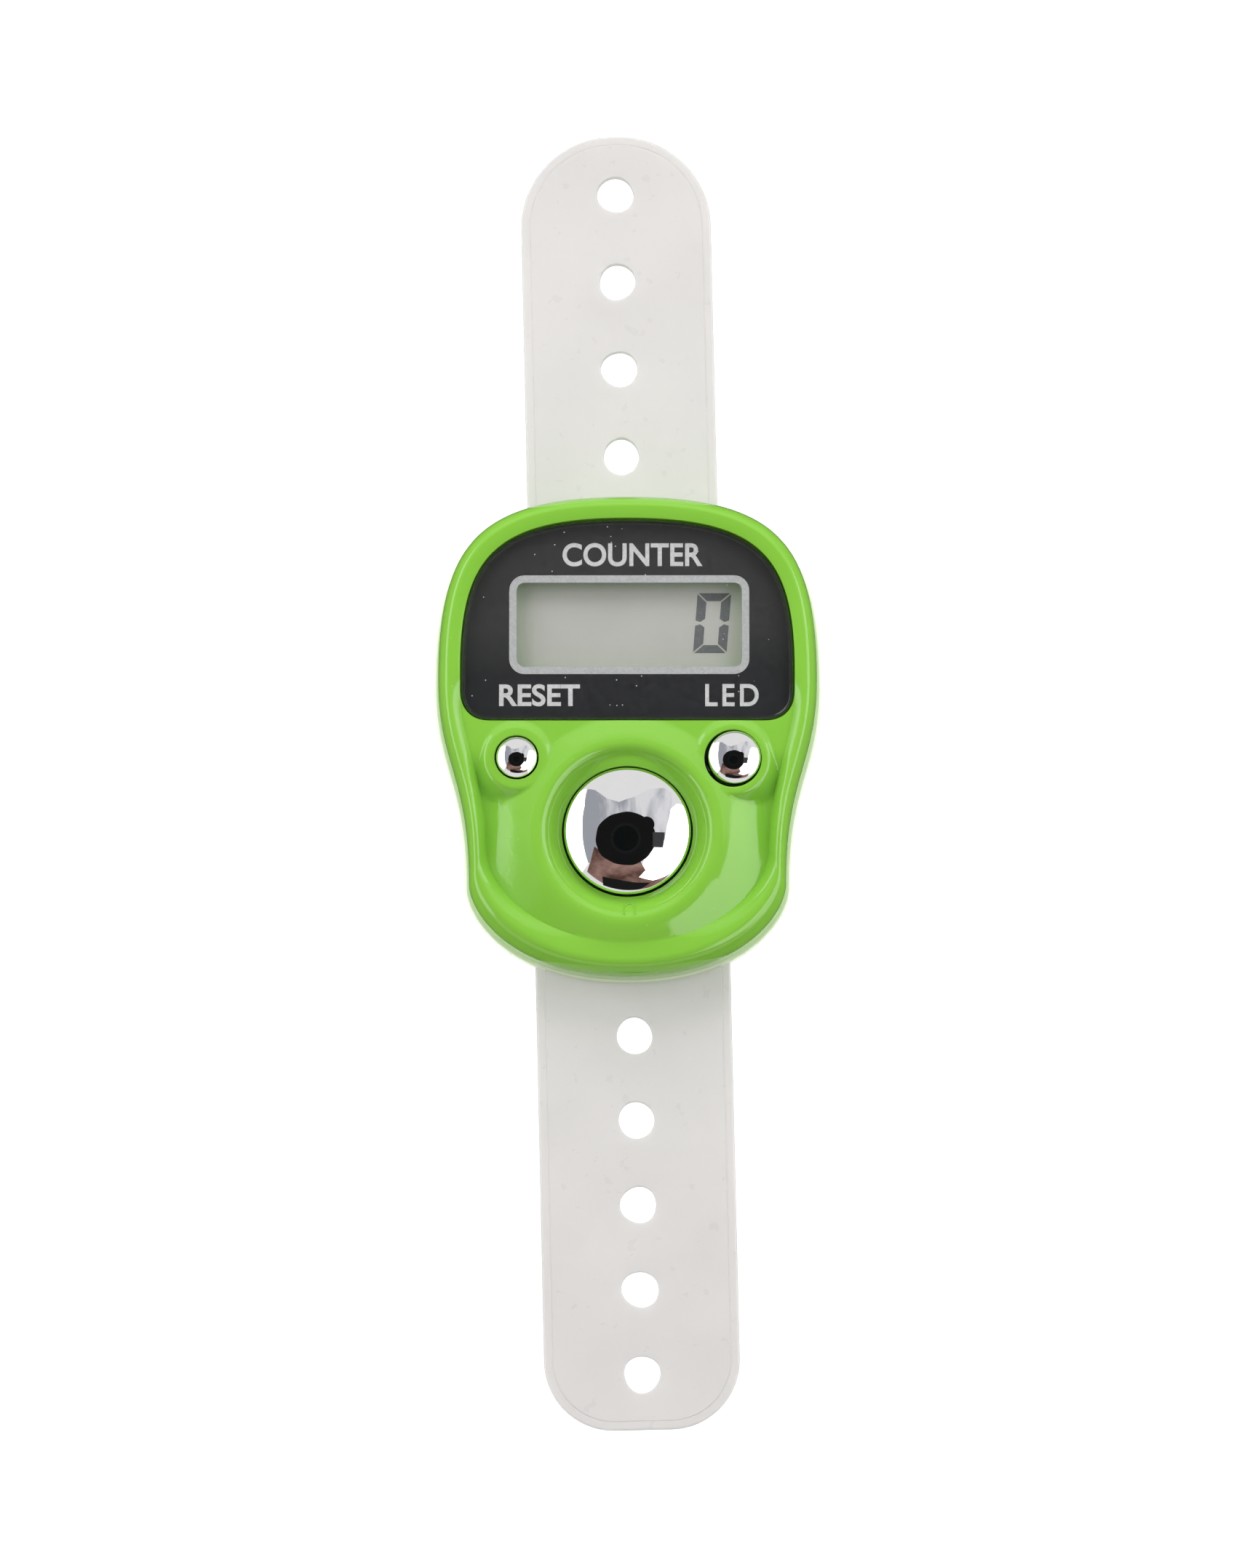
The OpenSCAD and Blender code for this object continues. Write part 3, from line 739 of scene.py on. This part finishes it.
def front_shell():
    """The front half of the case, open at the back."""
    made = Builder()
    cavity = [at_z(inset(WALL), z) for z in (PLATE_Z, SEAM_Z + EDGE_CUT)]
    made.loft([*cavity, at_z(inset(WALL - EDGE_CUT), SEAM_Z), *rim_loops()])
    sizes = ((COUNT_AT, COUNT_HOLE_R, 128), (RESET_AT, RESET_HOLE_R, 72), (LIGHT_AT, LIGHT_HOLE_R, 80))
    holes = [ring(*size) for size in sizes]
    outline = dish_outline()
    made.region(outline, holes, dish_height, fill_between(dish_fill(), [outline, *holes], EDGE_CLEAR))
    pocket = lens_loop(POCKET_GAP)
    made.loft([at_z(pocket, shell_edge_z(pocket)), at_z(pocket, SEAT_Z)])
    window = rounded_box(WINDOW_AT, SHELL_WINDOW, SHELL_WINDOW_R)
    made.region(pocket, [window], SEAT_Z)
    made.loft([at_z(window, SEAT_Z), at_z(window, PLATE_Z)])
    for hole in holes:
        top = dish_height(hole[:, 0], hole[:, 1])
        narrow = hole + inward(hole) * HOLE_ROUND
        middle = hole + inward(hole) * HOLE_ROUND * 0.7
        rows = [at_z(hole, top), at_z(middle, top - HOLE_ROUND * 0.3), at_z(narrow, top - HOLE_ROUND)]
        made.loft([*rows, at_z(narrow, PLATE_Z), at_z(hole, PLATE_Z)])
    made.region(inset(WALL), [window, *holes], PLATE_Z)
    obj = made.piece("front_shell_moulding", "case", "green_plastic", GREEN, 32.0)
    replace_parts(obj, "front_shell")


MARK_AT = np.array((0.17, -13.75))
MARK_R, MARK_LEG, MARK_THICK, MARK_LIFT = 0.42, 0.5, 0.055, 0.04


def arch_mark():
    """A tiny raised arch that the mould left below the large button."""
    path = np.array([(-MARK_R, -MARK_LEG), *arc((0, 0), MARK_R, -90, 90, 16), (MARK_R, -MARK_LEG)])
    rows = []
    for i, p in enumerate(path):
        along = path[min(i + 1, len(path) - 1)] - path[max(i - 1, 0)]
        side = np.array((along[1], -along[0])) / np.hypot(*along)
        at = MARK_AT + p
        z = float(dish_height(*at)) + MARK_LIFT
        rows.append(np.array([(*(at + side * MARK_THICK * math.cos(a)), z + MARK_THICK * math.sin(a))
                              for a in turns(8)]))
    Builder().solid(rows).piece("mould_arch_mark", "case", "green_plastic", GREEN)


front_shell()
arch_mark()


# -------- lens, print and display

INK_T = 0.012
INK_Z = SEAT_Z + 0.02
BLACK_INK_T = 0.015
# How far below the lens's top the painted dark edge on its side stops.
PAINTED_EDGE_DROP = 0.5
LENS_CENTRE = np.array((0.0, 8.6))
LENS_BACK_Z = INK_Z + 0.02
LENS_ROUND = 0.42
LENS_CROWN = 0.1
LENS_CUT = 0.06
FRAME_SIZE = np.array((18.86, 7.8))
FRAME_LINE = 0.58
FRAME_R = 1.2


def shrunk(loop, share):
    return LENS_CENTRE + (loop - LENS_CENTRE) * share


def lens():
    edge = lens_loop(0.0)
    inner = inward(edge)
    loops = [at_z(shrunk(edge + inner * LENS_CUT, s), LENS_BACK_Z) for s in (0.02, 0.5, 1.0)]
    loops.append(at_z(edge, LENS_BACK_Z + LENS_CUT))
    top = LENS_Z - LENS_CROWN
    for grow, z in arc((LENS_ROUND, top - LENS_ROUND), LENS_ROUND, -90, 0, 8):
        loops.append(at_z(edge + inner * grow, z))
    last = edge + inner * LENS_ROUND
    for s in (0.94, 0.85, 0.7, 0.5, 0.3, 0.12, 0.02):
        loops.append(at_z(shrunk(last, s), top + LENS_CROWN * (1 - s * s)))
    obj = Builder().solid(loops).piece("display_lens_clear", "case", "lens_plastic", CLEAR, 40.0)
    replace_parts(obj, "display_lens")


def lens_print():
    """Black ink over the whole back of the lens but its window; the ink up the lens's side is painted shade and
    reflection, for the dark lens edge and the shaded gap round it.
    """
    window = rounded_box(WINDOW_AT, FRAME_SIZE - 2 * FRAME_LINE + 0.1, 0.6)
    outline = lens_loop(-0.02)
    inner = lens_loop(-0.1)
    painted_edge_z = LENS_Z - PAINTED_EDGE_DROP
    front_z = SEAT_Z + BLACK_INK_T
    made = Builder()
    made.region(outline, [window], SEAT_Z)
    made.region(inner, [window], front_z)
    # Painted shade and reflection: ink up the lens's side darkens its edge and the gap round the lens.
    made.loft([at_z(outline, SEAT_Z), at_z(outline, painted_edge_z), at_z(inner, painted_edge_z), at_z(inner, front_z)])
    made.loft([at_z(window, SEAT_Z), at_z(window, front_z)])
    made.piece("lens_black_print_and_painted_edge", "case", "lens_plastic", BLACK_INK)


def window_frame():
    outer = rounded_box(WINDOW_AT, FRAME_SIZE, FRAME_R)
    inner = rounded_box(WINDOW_AT, FRAME_SIZE - 2 * FRAME_LINE, FRAME_R - FRAME_LINE)
    made = Builder()
    low, high = INK_Z, INK_Z + INK_T
    made.loft([at_z(outer, low), at_z(outer, high), at_z(inner, high), at_z(inner, low), at_z(outer, low)])
    made.piece("lens_window_frame", "case", "lens_plastic", FRAME_INK)


def label(name, words, centre, size, weight, spacing=1.0):
    """A printed word, scaled to its width and height."""
    curve = bpy.data.curves.new(name, "FONT")
    curve.body = words
    curve.offset = weight
    curve.space_character = spacing
    source = linked(name + "_source", curve)
    bpy.context.view_layer.update()
    mesh = bpy.data.meshes.new_from_object(source)
    mesh.name = name
    bpy.data.objects.remove(source)
    co = np.array([v.co[:2] for v in mesh.vertices])
    low, high = co.min(axis=0), co.max(axis=0)
    co = ((co - (low + high) / 2) / (high - low) * size + centre) * MM
    for v, p in zip(mesh.vertices, co):
        v.co = (*p, (INK_Z + INK_T) * MM)
    cleaned(mesh, 0.004, INK_T)
    finished(mesh, name, "case", SILVER_INK, 30.0)


lens()
lens_print()
window_frame()
label("print_counter", "COUNTER", (0.4, 14.2), (11.0, 1.85), 0.022)
label("print_reset", "RESET", (-6.9, 3.1), (6.35, 1.75), 0.024)
label("print_led", "LED", (8.2, 3.1), (4.2, 1.75), 0.02, 1.25)

DIGIT_AT = np.array((6.66, 8.95))
DIGIT_SIZE = np.array((2.64, 4.74))
DIGIT_SLANT = math.tan(math.radians(4.5))
DIGIT_Z = PLATE_Z + 0.005
BAR_SIDE = 0.74
BAR_TOP = 0.63
BAR_GAP = 0.09


def zero_digit():
    """The digit 0 in six of the seven segments, each with mitred ends."""
    w, h = DIGIT_SIZE / 2
    s, t, g = BAR_SIDE, BAR_TOP, BAR_GAP
    m = t / 2
    top = [(-w + g, h), (w - g, h), (w - s - g * 0.4, h - t), (-w + s + g * 0.4, h - t)]
    side = [(w, h - g), (w, m * 0.4 + g), (w - s / 2, g), (w - s, m * 0.8 + g), (w - s, h - t - g * 1.1)]
    made = Builder()
    for bar, way in ((top, (1, 1)), (side, (1, 1)), (side, (-1, 1)),
                     (top, (1, -1)), (side, (1, -1)), (side, (-1, -1))):
        loop = np.array(bar) * way
        loop[:, 0] += loop[:, 1] * DIGIT_SLANT
        made.solid([at_z(loop + DIGIT_AT, z) for z in (DIGIT_Z, DIGIT_Z + INK_T)])
    made.piece("lcd_digit_zero", "case", "polariser_film", DISPLAY_INK)


zero_digit()


# -------- buttons

FLANGE_TOP = PLATE_Z - 0.1
FLANGE_CUT = 0.1
FOOT_CUT = 0.15
COUNT_CAP_ANGLE = 38.0


def button(name, node, body, barrel_r, edge_r, angle):
    """A chrome button: the CAD's flange and barrel, with a rounded edge and a domed top."""
    low, high = node_box(node)
    flange_r = (high[0] - low[0]) / 2
    profile = [(flange_r - FOOT_CUT, low[2]), (flange_r, low[2] + FOOT_CUT),
               (flange_r, FLANGE_TOP - FLANGE_CUT), (flange_r - FLANGE_CUT, FLANGE_TOP),
               (barrel_r + FLANGE_CUT, FLANGE_TOP), (barrel_r, FLANGE_TOP + FLANGE_CUT)]
    lean, rise = math.sin(math.radians(angle)), math.cos(math.radians(angle))
    cap_r = (barrel_r - edge_r * (1 - lean)) / lean
    centre_z = high[2] - cap_r
    edge_z = centre_z + (cap_r - edge_r) * rise
    profile.append((barrel_r, edge_z - 0.6))
    profile += arc((barrel_r - edge_r, edge_z), edge_r, 90, angle, 10)
    profile += arc((0, centre_z), cap_r, angle, 0, 40)[1:]
    made = lathe((low[:2] + high[:2]) / 2, profile, 160)
    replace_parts(made.piece(name, body, "chrome_button", CHROME, 40.0), node)


button("count_button_chrome", "count_button", "count_key", 4.97, 0.5, COUNT_CAP_ANGLE)
button("reset_button_chrome", "reset_button", "reset_key", 1.6, 0.2, 48.0)
button("light_button_chrome", "light_button", "light_key", 2.08, 0.24, 46.0)

DOME_WALL = 0.7
DOME_PLAY = 0.01


def rubber_dome(key):
    """A rubber dome on the board, over its contact pill."""
    node = key + "_rubber_dome"
    low, high = node_box(node)
    pill_low, pill_high = node_box(key + "_contact_pill")
    foot_r = (high[0] - low[0]) / 2
    pill_r = (pill_high[0] - pill_low[0]) / 2
    inner_z, top_z = pill_high[2] + DOME_PLAY, high[2] - DOME_PLAY
    profile = [(pill_r * 0.5, inner_z), (pill_r, inner_z), (foot_r - DOME_WALL, low[2])]
    profile += [(foot_r, low[2]), (pill_r + DOME_WALL, top_z), (pill_r * 0.5, top_z)]
    made = lathe((low[:2] + high[:2]) / 2, profile, 64)
    obj = made.piece(node + "_soft", "case", "silicone_rubber", RUBBER, 40.0)
    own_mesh(obj)
    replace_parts(obj, node)


rubber_dome("count")
rubber_dome("reset")
rubber_dome("light")


# -------- strap

SKEW = math.radians(1.3)
STRAP_LOW = REAR_TOP_Z
STRAP_HIGH = REAR_TOP_Z + STRAP_T
EDGE_R = 0.22
EDGE_BAND = 0.66
BAND_DROP = 0.05
GROOVE = 0.09
FACE_DROP = 0.01
ROOT_Y = 16.9
STRAP_HOLE_R = 1.45
HOLE_LIP = 0.12
HOLE_COUNT = 36
UNROUND = 0.035


def strap_facts(side):
    """The bend line's distance and the holes' distances along a tail, in millimetres."""
    joint = next(j for j in frame["joints"] if j["name"] == side + "_strap_bend")
    bend = math.hypot(*joint["pos_m"][:2]) / MM
    mounts = [m for m in frame["record"]["mounts"] if m["name"].startswith(side + "_strap_hole")]
    return bend, [math.hypot(*m["pos_m"][:2]) / MM for m in mounts]


def tail_loop(width, tip, corner_r, grow):
    """A tail along +Y, clockwise from its root's left corner, with its edge moved in by grow."""
    half, end, r = width / 2 - grow, tip - grow, corner_r - grow
    ys = np.linspace(ROOT_Y, end - r, 60)
    left = [(-half, y) for y in ys[:-1]] + arc((-half + r, end - r), r, -90, 0, 24)
    return np.vstack([left, [(-x, y) for x, y in left[::-1]]])


def punched(centre, r, seed):
    """A hole that was punched a little out of round."""
    rng = np.random.default_rng(seed)
    a = turns(HOLE_COUNT)
    wave = sum(rng.uniform(-UNROUND, UNROUND) * np.cos(k * a + rng.uniform(0, 6.28)) for k in (2, 3))
    return ring(centre, r * (0.985 + wave), HOLE_COUNT)


def strap_tail(side, sign, width, tip, corner_r, seed):
    """A tail of the strap: rounded edges, a moulded line just inside them, and punched holes."""

    def laid(points):
        """Points turned by the strap's slight skew, on this tail's side."""
        c, s = math.cos(SKEW), math.sin(SKEW)
        x, y = points[:, 0], points[:, 1]
        return sign * np.column_stack([x * c - y * s, x * s + y * c])

    bend, reach = strap_facts(side)
    band_z = FACE_DROP + BAND_DROP
    rows = [(EDGE_BAND + 0.1, FACE_DROP), (EDGE_BAND + 0.06, GROOVE), (EDGE_BAND + 0.02, GROOVE)]
    rows += [(EDGE_BAND - 0.03, band_z), *arc((EDGE_R, band_z + EDGE_R), EDGE_R, 180, 270, 5)]
    section = [(grow, STRAP_LOW + drop) for grow, drop in rows]
    section += [(grow, STRAP_HIGH - drop) for grow, drop in rows[::-1]]
    loops = [laid(tail_loop(width, tip, corner_r, grow)) for grow, _ in section]
    made = Builder()
    made.loft([at_z(loop, z) for loop, (_, z) in zip(loops, section)])
    inner = tail_loop(width, tip, corner_r, rows[0][0])
    flat_holes = [punched((0.0, y), STRAP_HOLE_R + HOLE_LIP, seed + k) for k, y in enumerate(reach)]
    grid = np.array([(x, y) for y in np.arange(ROOT_Y + 0.15, tip, 0.45)
                     for x in np.arange(-width / 2 + 1.1, width / 2 - 1, 0.9)])
    fill = laid(fill_between(grid, [inner, *flat_holes], 0.2))
    wide = [laid(hole) for hole in flat_holes]
    for z in (STRAP_LOW + FACE_DROP, STRAP_HIGH - FACE_DROP):
        made.region(loops[0], wide, z, fill)
    for k, (y, large) in enumerate(zip(reach, wide)):
        small = laid(punched((0.0, y), STRAP_HOLE_R, seed + k))
        mouth = [(large, FACE_DROP), ((small + large) / 2, 0.03), (small, HOLE_LIP)]
        bore = [at_z(loop, STRAP_LOW + drop) for loop, drop in mouth]
        made.loft(bore + [at_z(loop, STRAP_HIGH - drop) for loop, drop in mouth[::-1]])
    obj = made.piece("strap_" + side + "_vinyl", None, "strap_vinyl", VINYL, 28.0)
    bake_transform(obj)
    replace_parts(obj, "strap_tail_" + side)


strap_tail("upper", 1, 15.1, 48.3, 7.3, 11)
strap_tail("lower", -1, 15.4, 54.4, 5.5, 31)

COLLAR_ROUND = 0.2


def strap_collar():
    """The clamped ring of the strap, whose edge shows all round between the halves of the case."""
    made = Builder()
    r = COLLAR_ROUND
    edge = COLLAR_GROW - r
    rows = [(-2.0, STRAP_LOW), *arc((edge, STRAP_LOW + r), r, 180, 90, 4)]
    rows += [*arc((edge, STRAP_HIGH - r), r, 90, 0, 4), (-2.0, STRAP_HIGH), (-2.0, STRAP_LOW)]
    made.loft([at_z(inset(-grow), z) for grow, z in rows])
    # Its vinyl carries painted light: paler and greener than the strap's, with a painted glow.
    obj = made.piece("strap_clamped_ring", "case", "strap_vinyl", RING_VINYL_PAINTED_LIGHT)
    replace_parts(obj, "strap_collar")


strap_collar()


# -------- rear cover

REAR_SCREWS = [(7.4, 15.0), (-7.4, 15.0), (7.8, -13.4), (-7.8, -13.4)]
SCREW_BORE_R = 0.8
SCREW_WELL_R = 1.3
SCREW_POST_R = 1.4
SCREW_SEAT_Z = 1.1
SCREW_BORE_TOP_Z = 4.8
BATTERY_AT = np.array((0.0, 6.0))
BATTERY_WELL_R = 5.95
BATTERY_WALL_R = 6.75
BATTERY_WALL_Z = 3.4
DOOR_SCREW_AT = np.array((0.0, -2.6))
DOOR_R = 6.9
DOOR_LUG_R = 2.3
DOOR_SEAT_Z = 0.7
DOOR_GAP = 0.1
REAR_FLOOR_Z = 1.0
REAR_ROUND = 1.4
REAR_DRAFT = 0.15
REAR_CUT = 0.06


def door_loop():
    """The opening for the battery door: a disc, and a tongue with a round end below it."""
    lug_r, disc_r = DOOR_LUG_R + DOOR_GAP, DOOR_R + DOOR_GAP
    start = math.degrees(math.atan2(lug_r, -math.sqrt(disc_r ** 2 - lug_r ** 2)))
    disc = arc(BATTERY_AT, disc_r, -start, start, 119)
    return np.vstack([disc, arc(DOOR_SCREW_AT, lug_r, 90, 270, 31)])


def rear_cover():
    """The rear half of the case: a rounded edge, wells for the screws and the battery door's opening."""
    made = Builder()
    side = REAR_DRAFT - COVER_GROW
    rows = [(WALL, REAR_FLOOR_Z), (WALL, REAR_TOP_Z), (REAR_CUT - COVER_GROW, REAR_TOP_Z)]
    rows += [(-COVER_GROW, REAR_TOP_Z - REAR_CUT), (side, REAR_ROUND + 0.6)]
    rows += arc((side + REAR_ROUND, REAR_ROUND), REAR_ROUND, -90, -180, 10)
    loops = [at_z(inset(grow), z) for grow, z in rows]
    made.loft(loops)
    door = door_loop()
    wells, bores, posts = [[ring(c, r, 40) for c in REAR_SCREWS]
                           for r in (SCREW_WELL_R, SCREW_BORE_R, SCREW_POST_R)]
    made.region(loops[-1][:, :2], [door, *wells], 0.0)
    for well, bore, post in zip(wells, bores, posts):
        made.loft([at_z(well, 0.0), at_z(well, SCREW_SEAT_Z), at_z(bore, SCREW_SEAT_Z),
                   at_z(bore, SCREW_BORE_TOP_Z)])
        made.loft([at_z(bore, SEAM_Z), at_z(post, SEAM_Z), at_z(post, REAR_FLOOR_Z)])
    made.loft([at_z(door, 0.0), at_z(door, DOOR_SEAT_Z)])
    well_in, well_out = [ring(BATTERY_AT, r, 96) for r in (BATTERY_WELL_R, BATTERY_WALL_R)]
    made.region(door, [well_in], DOOR_SEAT_Z)
    made.loft([at_z(well_in, DOOR_SEAT_Z), at_z(well_in, BATTERY_WALL_Z), at_z(well_out, BATTERY_WALL_Z),
               at_z(well_out, REAR_FLOOR_Z)])
    made.region(inset(WALL), [well_out, *posts], REAR_FLOOR_Z)
    obj = made.piece("rear_cover_moulding", "case", "green_plastic", GREEN, 32.0)
    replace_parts(obj, "rear_cover")


rear_cover()


# -------- stage

WHITE = (1.0, 1.0, 1.0)
CAMERA_TILT = math.radians(5.0)
CAMERA_SWING = math.radians(0.3)
CAMERA_DISTANCE = 0.6
FRAME_HEIGHT = 0.1232
AIM = Vector((0.0, -0.0038, 0.0084))
WORLD_GLOW = 0.42
FLOOR_Z = -0.045
FLOOR_HALF = 6.0
FLOOR_GLOW = 0.45
LAMP_GLOW = 2.8
TENT_R = 1.3
TENT_TURNS = 48
TENT_ROWS = 16

# Cards are laid out by what the count button mirrors.
CARD_CENTRE = Vector((COUNT_AT[0] * MM, COUNT_AT[1] * MM, 0.012))
CARD_STEP = 0.1
CARD_CLEAR = 0.02
ROUND_CARD_COUNT = 60
CAP_LEAN = math.sin(math.radians(COUNT_CAP_ANGLE))
MIRROR_TILT = Vector((-0.02, -0.105, 1.0)).normalized()

# Card outlines in count button radii from its centre, right and up.
TENT_GREY = [(-0.68, 0.66), (-0.56, 0.64), (-0.36, 0.49), (-0.16, 0.43), (0.10, 0.52), (0.36, 0.66),
             (0.59, 0.68), (0.72, 0.60), (0.70, 0.32), (0.63, 0.02), (0.60, -0.16), (0.26, -0.34),
             (-0.05, -0.48), (-0.50, -0.50), (-0.66, -0.57), (-0.72, -0.37), (-0.76, -0.02), (-0.73, 0.37)]
LAMP_LEFT = [(-1.05, 0.55), (-0.70, 0.66), (-0.73, 0.37), (-0.76, -0.02), (-0.72, -0.37), (-0.66, -0.57),
             (-0.80, -0.75), (-1.05, -0.55), (-1.2, 0.0)]
LAMP_RIGHT = [(0.60, -0.2), (0.63, 0.02), (0.70, 0.32), (0.80, 0.42), (1.05, 0.35), (1.2, 0.0),
              (1.05, -0.5), (0.75, -0.82), (0.3, -0.86), (0.1, -0.8), (0.25, -0.55), (0.26, -0.34)]
GRIP = [(0.40, -0.07), (0.60, -0.07), (0.57, -0.32), (0.40, -0.32)]
ARM = [(-0.56, -0.30), (-0.40, -0.42), (-0.24, -0.52), (-0.01, -0.56), (0.17, -0.50), (0.28, -0.69),
       (0.17, -0.80), (0.40, -0.85), (0.72, -0.72), (0.55, -0.92), (0.03, -1.0), (-0.40, -0.90),
       (-0.68, -0.70), (-0.62, -0.53)]
SLEEVE = [(-0.43, -0.78), (-0.2, -0.83), (0.01, -0.87), (0.36, -0.88), (0.17, -1.0), (-0.08, -1.0),
          (-0.42, -0.92)]
CAMERA_FACE = (-0.046, -0.172)


def glow(name, colour, strength):
    """A plain emitter for the stage."""
    material, tree, shader = nodes_of(name)
    tree.nodes.remove(shader)
    show(tree, add_node(tree, "Emission", Color=colour, Strength=strength).outputs["Emission"])
    return material


def streaked(name, low, high, scale, stretch, lean=0.0):
    """An emitter with soft streaks between two colours; lean turns it to the second one at the right."""
    material = glow(name, WHITE, 1.0)
    tree = material.node_tree
    place = object_coords(tree)
    turned = add_node(tree, "Mapping", Scale=stretch, Rotation=(0.0, 0.0, 0.6), Vector=place)
    lines = noise(tree, scale, 3.0, 0.5, turned.outputs["Vector"])
    split = add_node(tree, "SeparateXYZ", Vector=place)
    tilted = math_node(tree, "ADD", lines, math_node(tree, "MULTIPLY", split.outputs["X"], lean))
    share = spread(tree, tilted, 0.36, 0.64, 0.0, 1.0)
    feed(tree, next(n for n in tree.nodes if n.type == "EMISSION"), Color=mix_colour(tree, share, low, high))
    return material


def floor_material():
    """A pale floor with a little light of its own, open from below so that the back can be looked at."""
    material, tree, shader = nodes_of("stage_floor")
    feed(tree, shader, Base_Color=(0.8, 0.8, 0.8), Roughness=1.0, Specular_IOR_Level=0.0,
         Emission_Color=WHITE, Emission_Strength=FLOOR_GLOW)
    clear = add_node(tree, "BsdfTransparent").outputs["BSDF"]
    show(tree, mix_shader(tree, facing_away(tree), shader.outputs["BSDF"], clear))
    return material


def stage_mesh(name, points, faces, material):
    mesh = bpy.data.meshes.new(name)
    mesh.from_pydata([tuple(p) for p in points], [], faces)
    mesh.materials.append(material)
    obj = linked(name, mesh)
    return obj


def only_reflected(obj):
    obj.visible_camera = False
    obj.visible_diffuse = False
    obj.visible_transmission = False
    obj.visible_shadow = False
    obj.visible_volume_scatter = False


def mirrored_way(u, v):
    """The direction that the count button shows at a point of a card's outline."""
    normal = Vector((u * CAP_LEAN, v * CAP_LEAN, 0))
    normal.z = math.sqrt(max(0.0, 1 - normal.length_squared))
    return 2 * normal.dot(MIRROR_TILT) * normal - MIRROR_TILT


def card(name, radius, outline, material):
    """A card curved round the buttons and seen only in reflections."""
    loop = np.array(outline, float)[::-1]
    low, high = loop.min(axis=0) + CARD_STEP / 2, loop.max(axis=0)
    grid = np.array([(x, y) for x in np.arange(low[0], high[0], CARD_STEP)
                     for y in np.arange(low[1], high[1], CARD_STEP)]).reshape(-1, 2)
    flat, faces = triangulated([loop], fill_between(grid, [loop], CARD_CLEAR))
    placed = [CARD_CENTRE + mirrored_way(*q) * radius for q in flat]
    only_reflected(stage_mesh(name, placed, faces.tolist(), material))


def round_card(centre, r, squeeze=1.0, wobble=0.0):
    """A round outline, squeezed in height and a little uneven."""
    a = turns(ROUND_CARD_COUNT)
    uneven = r * (1 + wobble * (np.sin(5 * a) + 0.6 * np.sin(11 * a + 1)))
    return ring((0, 0), uneven, ROUND_CARD_COUNT) * (1, squeeze) + centre


def surround(name, material, low, high):
    """A bowl round the object between two angles from overhead, seen only in reflections."""
    made = Builder()
    angles = np.radians(np.linspace(low, high, TENT_ROWS + 1))
    made.loft([at_z(ring((0, 0), TENT_R * math.sin(a), TENT_TURNS), TENT_R * math.cos(a)) for a in angles])
    only_reflected(stage_mesh(name, made.points, made.faces, material))


def softbox(name, place, size, strength):
    """A soft lamp of a given size, whose strength is the brightness of its face."""
    data = bpy.data.lights.new(name, "AREA")
    data.shape = "RECTANGLE"
    data.size, data.size_y = size
    data.energy = strength * math.pi * size[0] * size[1]
    obj = linked(name, data)
    obj.location = place
    obj.rotation_mode = "QUATERNION"
    obj.rotation_quaternion = (CARD_CENTRE - Vector(place)).to_track_quat("-Z", "Y")
    obj.visible_glossy = False


def camera():
    """The camera looks down at the display, a little from below it."""
    back = Vector((math.sin(CAMERA_SWING), -math.sin(CAMERA_TILT), math.cos(CAMERA_TILT))).normalized()
    right = Vector((0, 1, 0)).cross(back).normalized()
    up = back.cross(right)
    data = bpy.data.cameras.new("camera")
    data.sensor_width = 36.0
    data.lens = data.sensor_width * CAMERA_DISTANCE / FRAME_HEIGHT
    data.clip_start = 0.01
    data.clip_end = 20.0
    obj = linked("camera", data)
    obj.location = AIM + back * CAMERA_DISTANCE
    obj.rotation_mode = "QUATERNION"
    obj.rotation_quaternion = Matrix((right, up, back)).transposed().to_quaternion()
    bpy.context.scene.camera = obj


def studio():
    """Floor, lamps, tent and the cards that the chrome shows."""
    world = bpy.data.worlds.new("studio")
    world.use_nodes = True
    feed(world.node_tree, world.node_tree.nodes["Background"], Color=WHITE, Strength=WORLD_GLOW)
    bpy.context.scene.world = world
    bpy.context.scene.view_settings.view_transform = "Standard"
    corners = [(x * FLOOR_HALF, y * FLOOR_HALF, FLOOR_Z) for x, y in ((-1, -1), (1, -1), (1, 1), (-1, 1))]
    stage_mesh("floor", corners, [(0, 1, 2, 3)], floor_material()).visible_glossy = False
    softbox("softbox_left", (-0.46, 0.12, 0.36), (0.36, 0.55), 2.5)
    softbox("softbox_right", (0.46, 0.12, 0.36), (0.36, 0.55), 2.5)
    softbox("softbox_front", (0.0, -0.5, 0.2), (0.6, 0.25), 0.2)
    softbox("softbox_top", (0.0, 0.46, 0.4), (0.7, 0.3), 2.9)
    surround("tent", glow("tent_pale", (1.0, 0.985, 0.98), 0.80), 0.5, 92.0)
    surround("tent_foot", glow("tent_shade", (0.8, 1.0, 0.7), 0.1), 92.0, 179.5)
    grey = streaked("tent_grey", (0.34, 0.35, 0.39), (0.74, 0.74, 0.76), 1.3, (4, 1, 1), 0.25)
    card("tent_grey", 0.9, TENT_GREY, grey)
    card("lamp_left", 0.85, LAMP_LEFT, glow("lamp_face", WHITE, LAMP_GLOW))
    card("lamp_right", 0.85, LAMP_RIGHT, glow("lamp_face_wide", WHITE, LAMP_GLOW))
    brown = streaked("arm_brown", (0.09, 0.045, 0.036), (0.33, 0.2, 0.17), 4.5, (1, 1.5, 1))
    card("arm", 0.6, ARM, brown)
    card("sleeve", 0.55, SLEEVE, glow("sleeve_dark", WHITE, 0.012))
    black = glow("camera_black", (1.0, 1.0, 1.05), 0.008)
    card("camera_body", 0.5, round_card(CAMERA_FACE, 0.5, 0.88, 0.012), black)
    card("camera_shoulder", 0.49, round_card((0.30, 0.06), 0.13), black)
    card("camera_grip", 0.48, GRIP, glow("camera_grip", (1.0, 1.0, 1.05), 0.05))
    card("camera_ring", 0.47, round_card(CAMERA_FACE, 0.25), glow("camera_ring", (0.9, 1.0, 1.0), 0.012))
    card("camera_glass", 0.46, round_card(CAMERA_FACE, 0.21), glow("camera_glass", (0.8, 1.0, 1.0), 0.006))


camera()
studio()
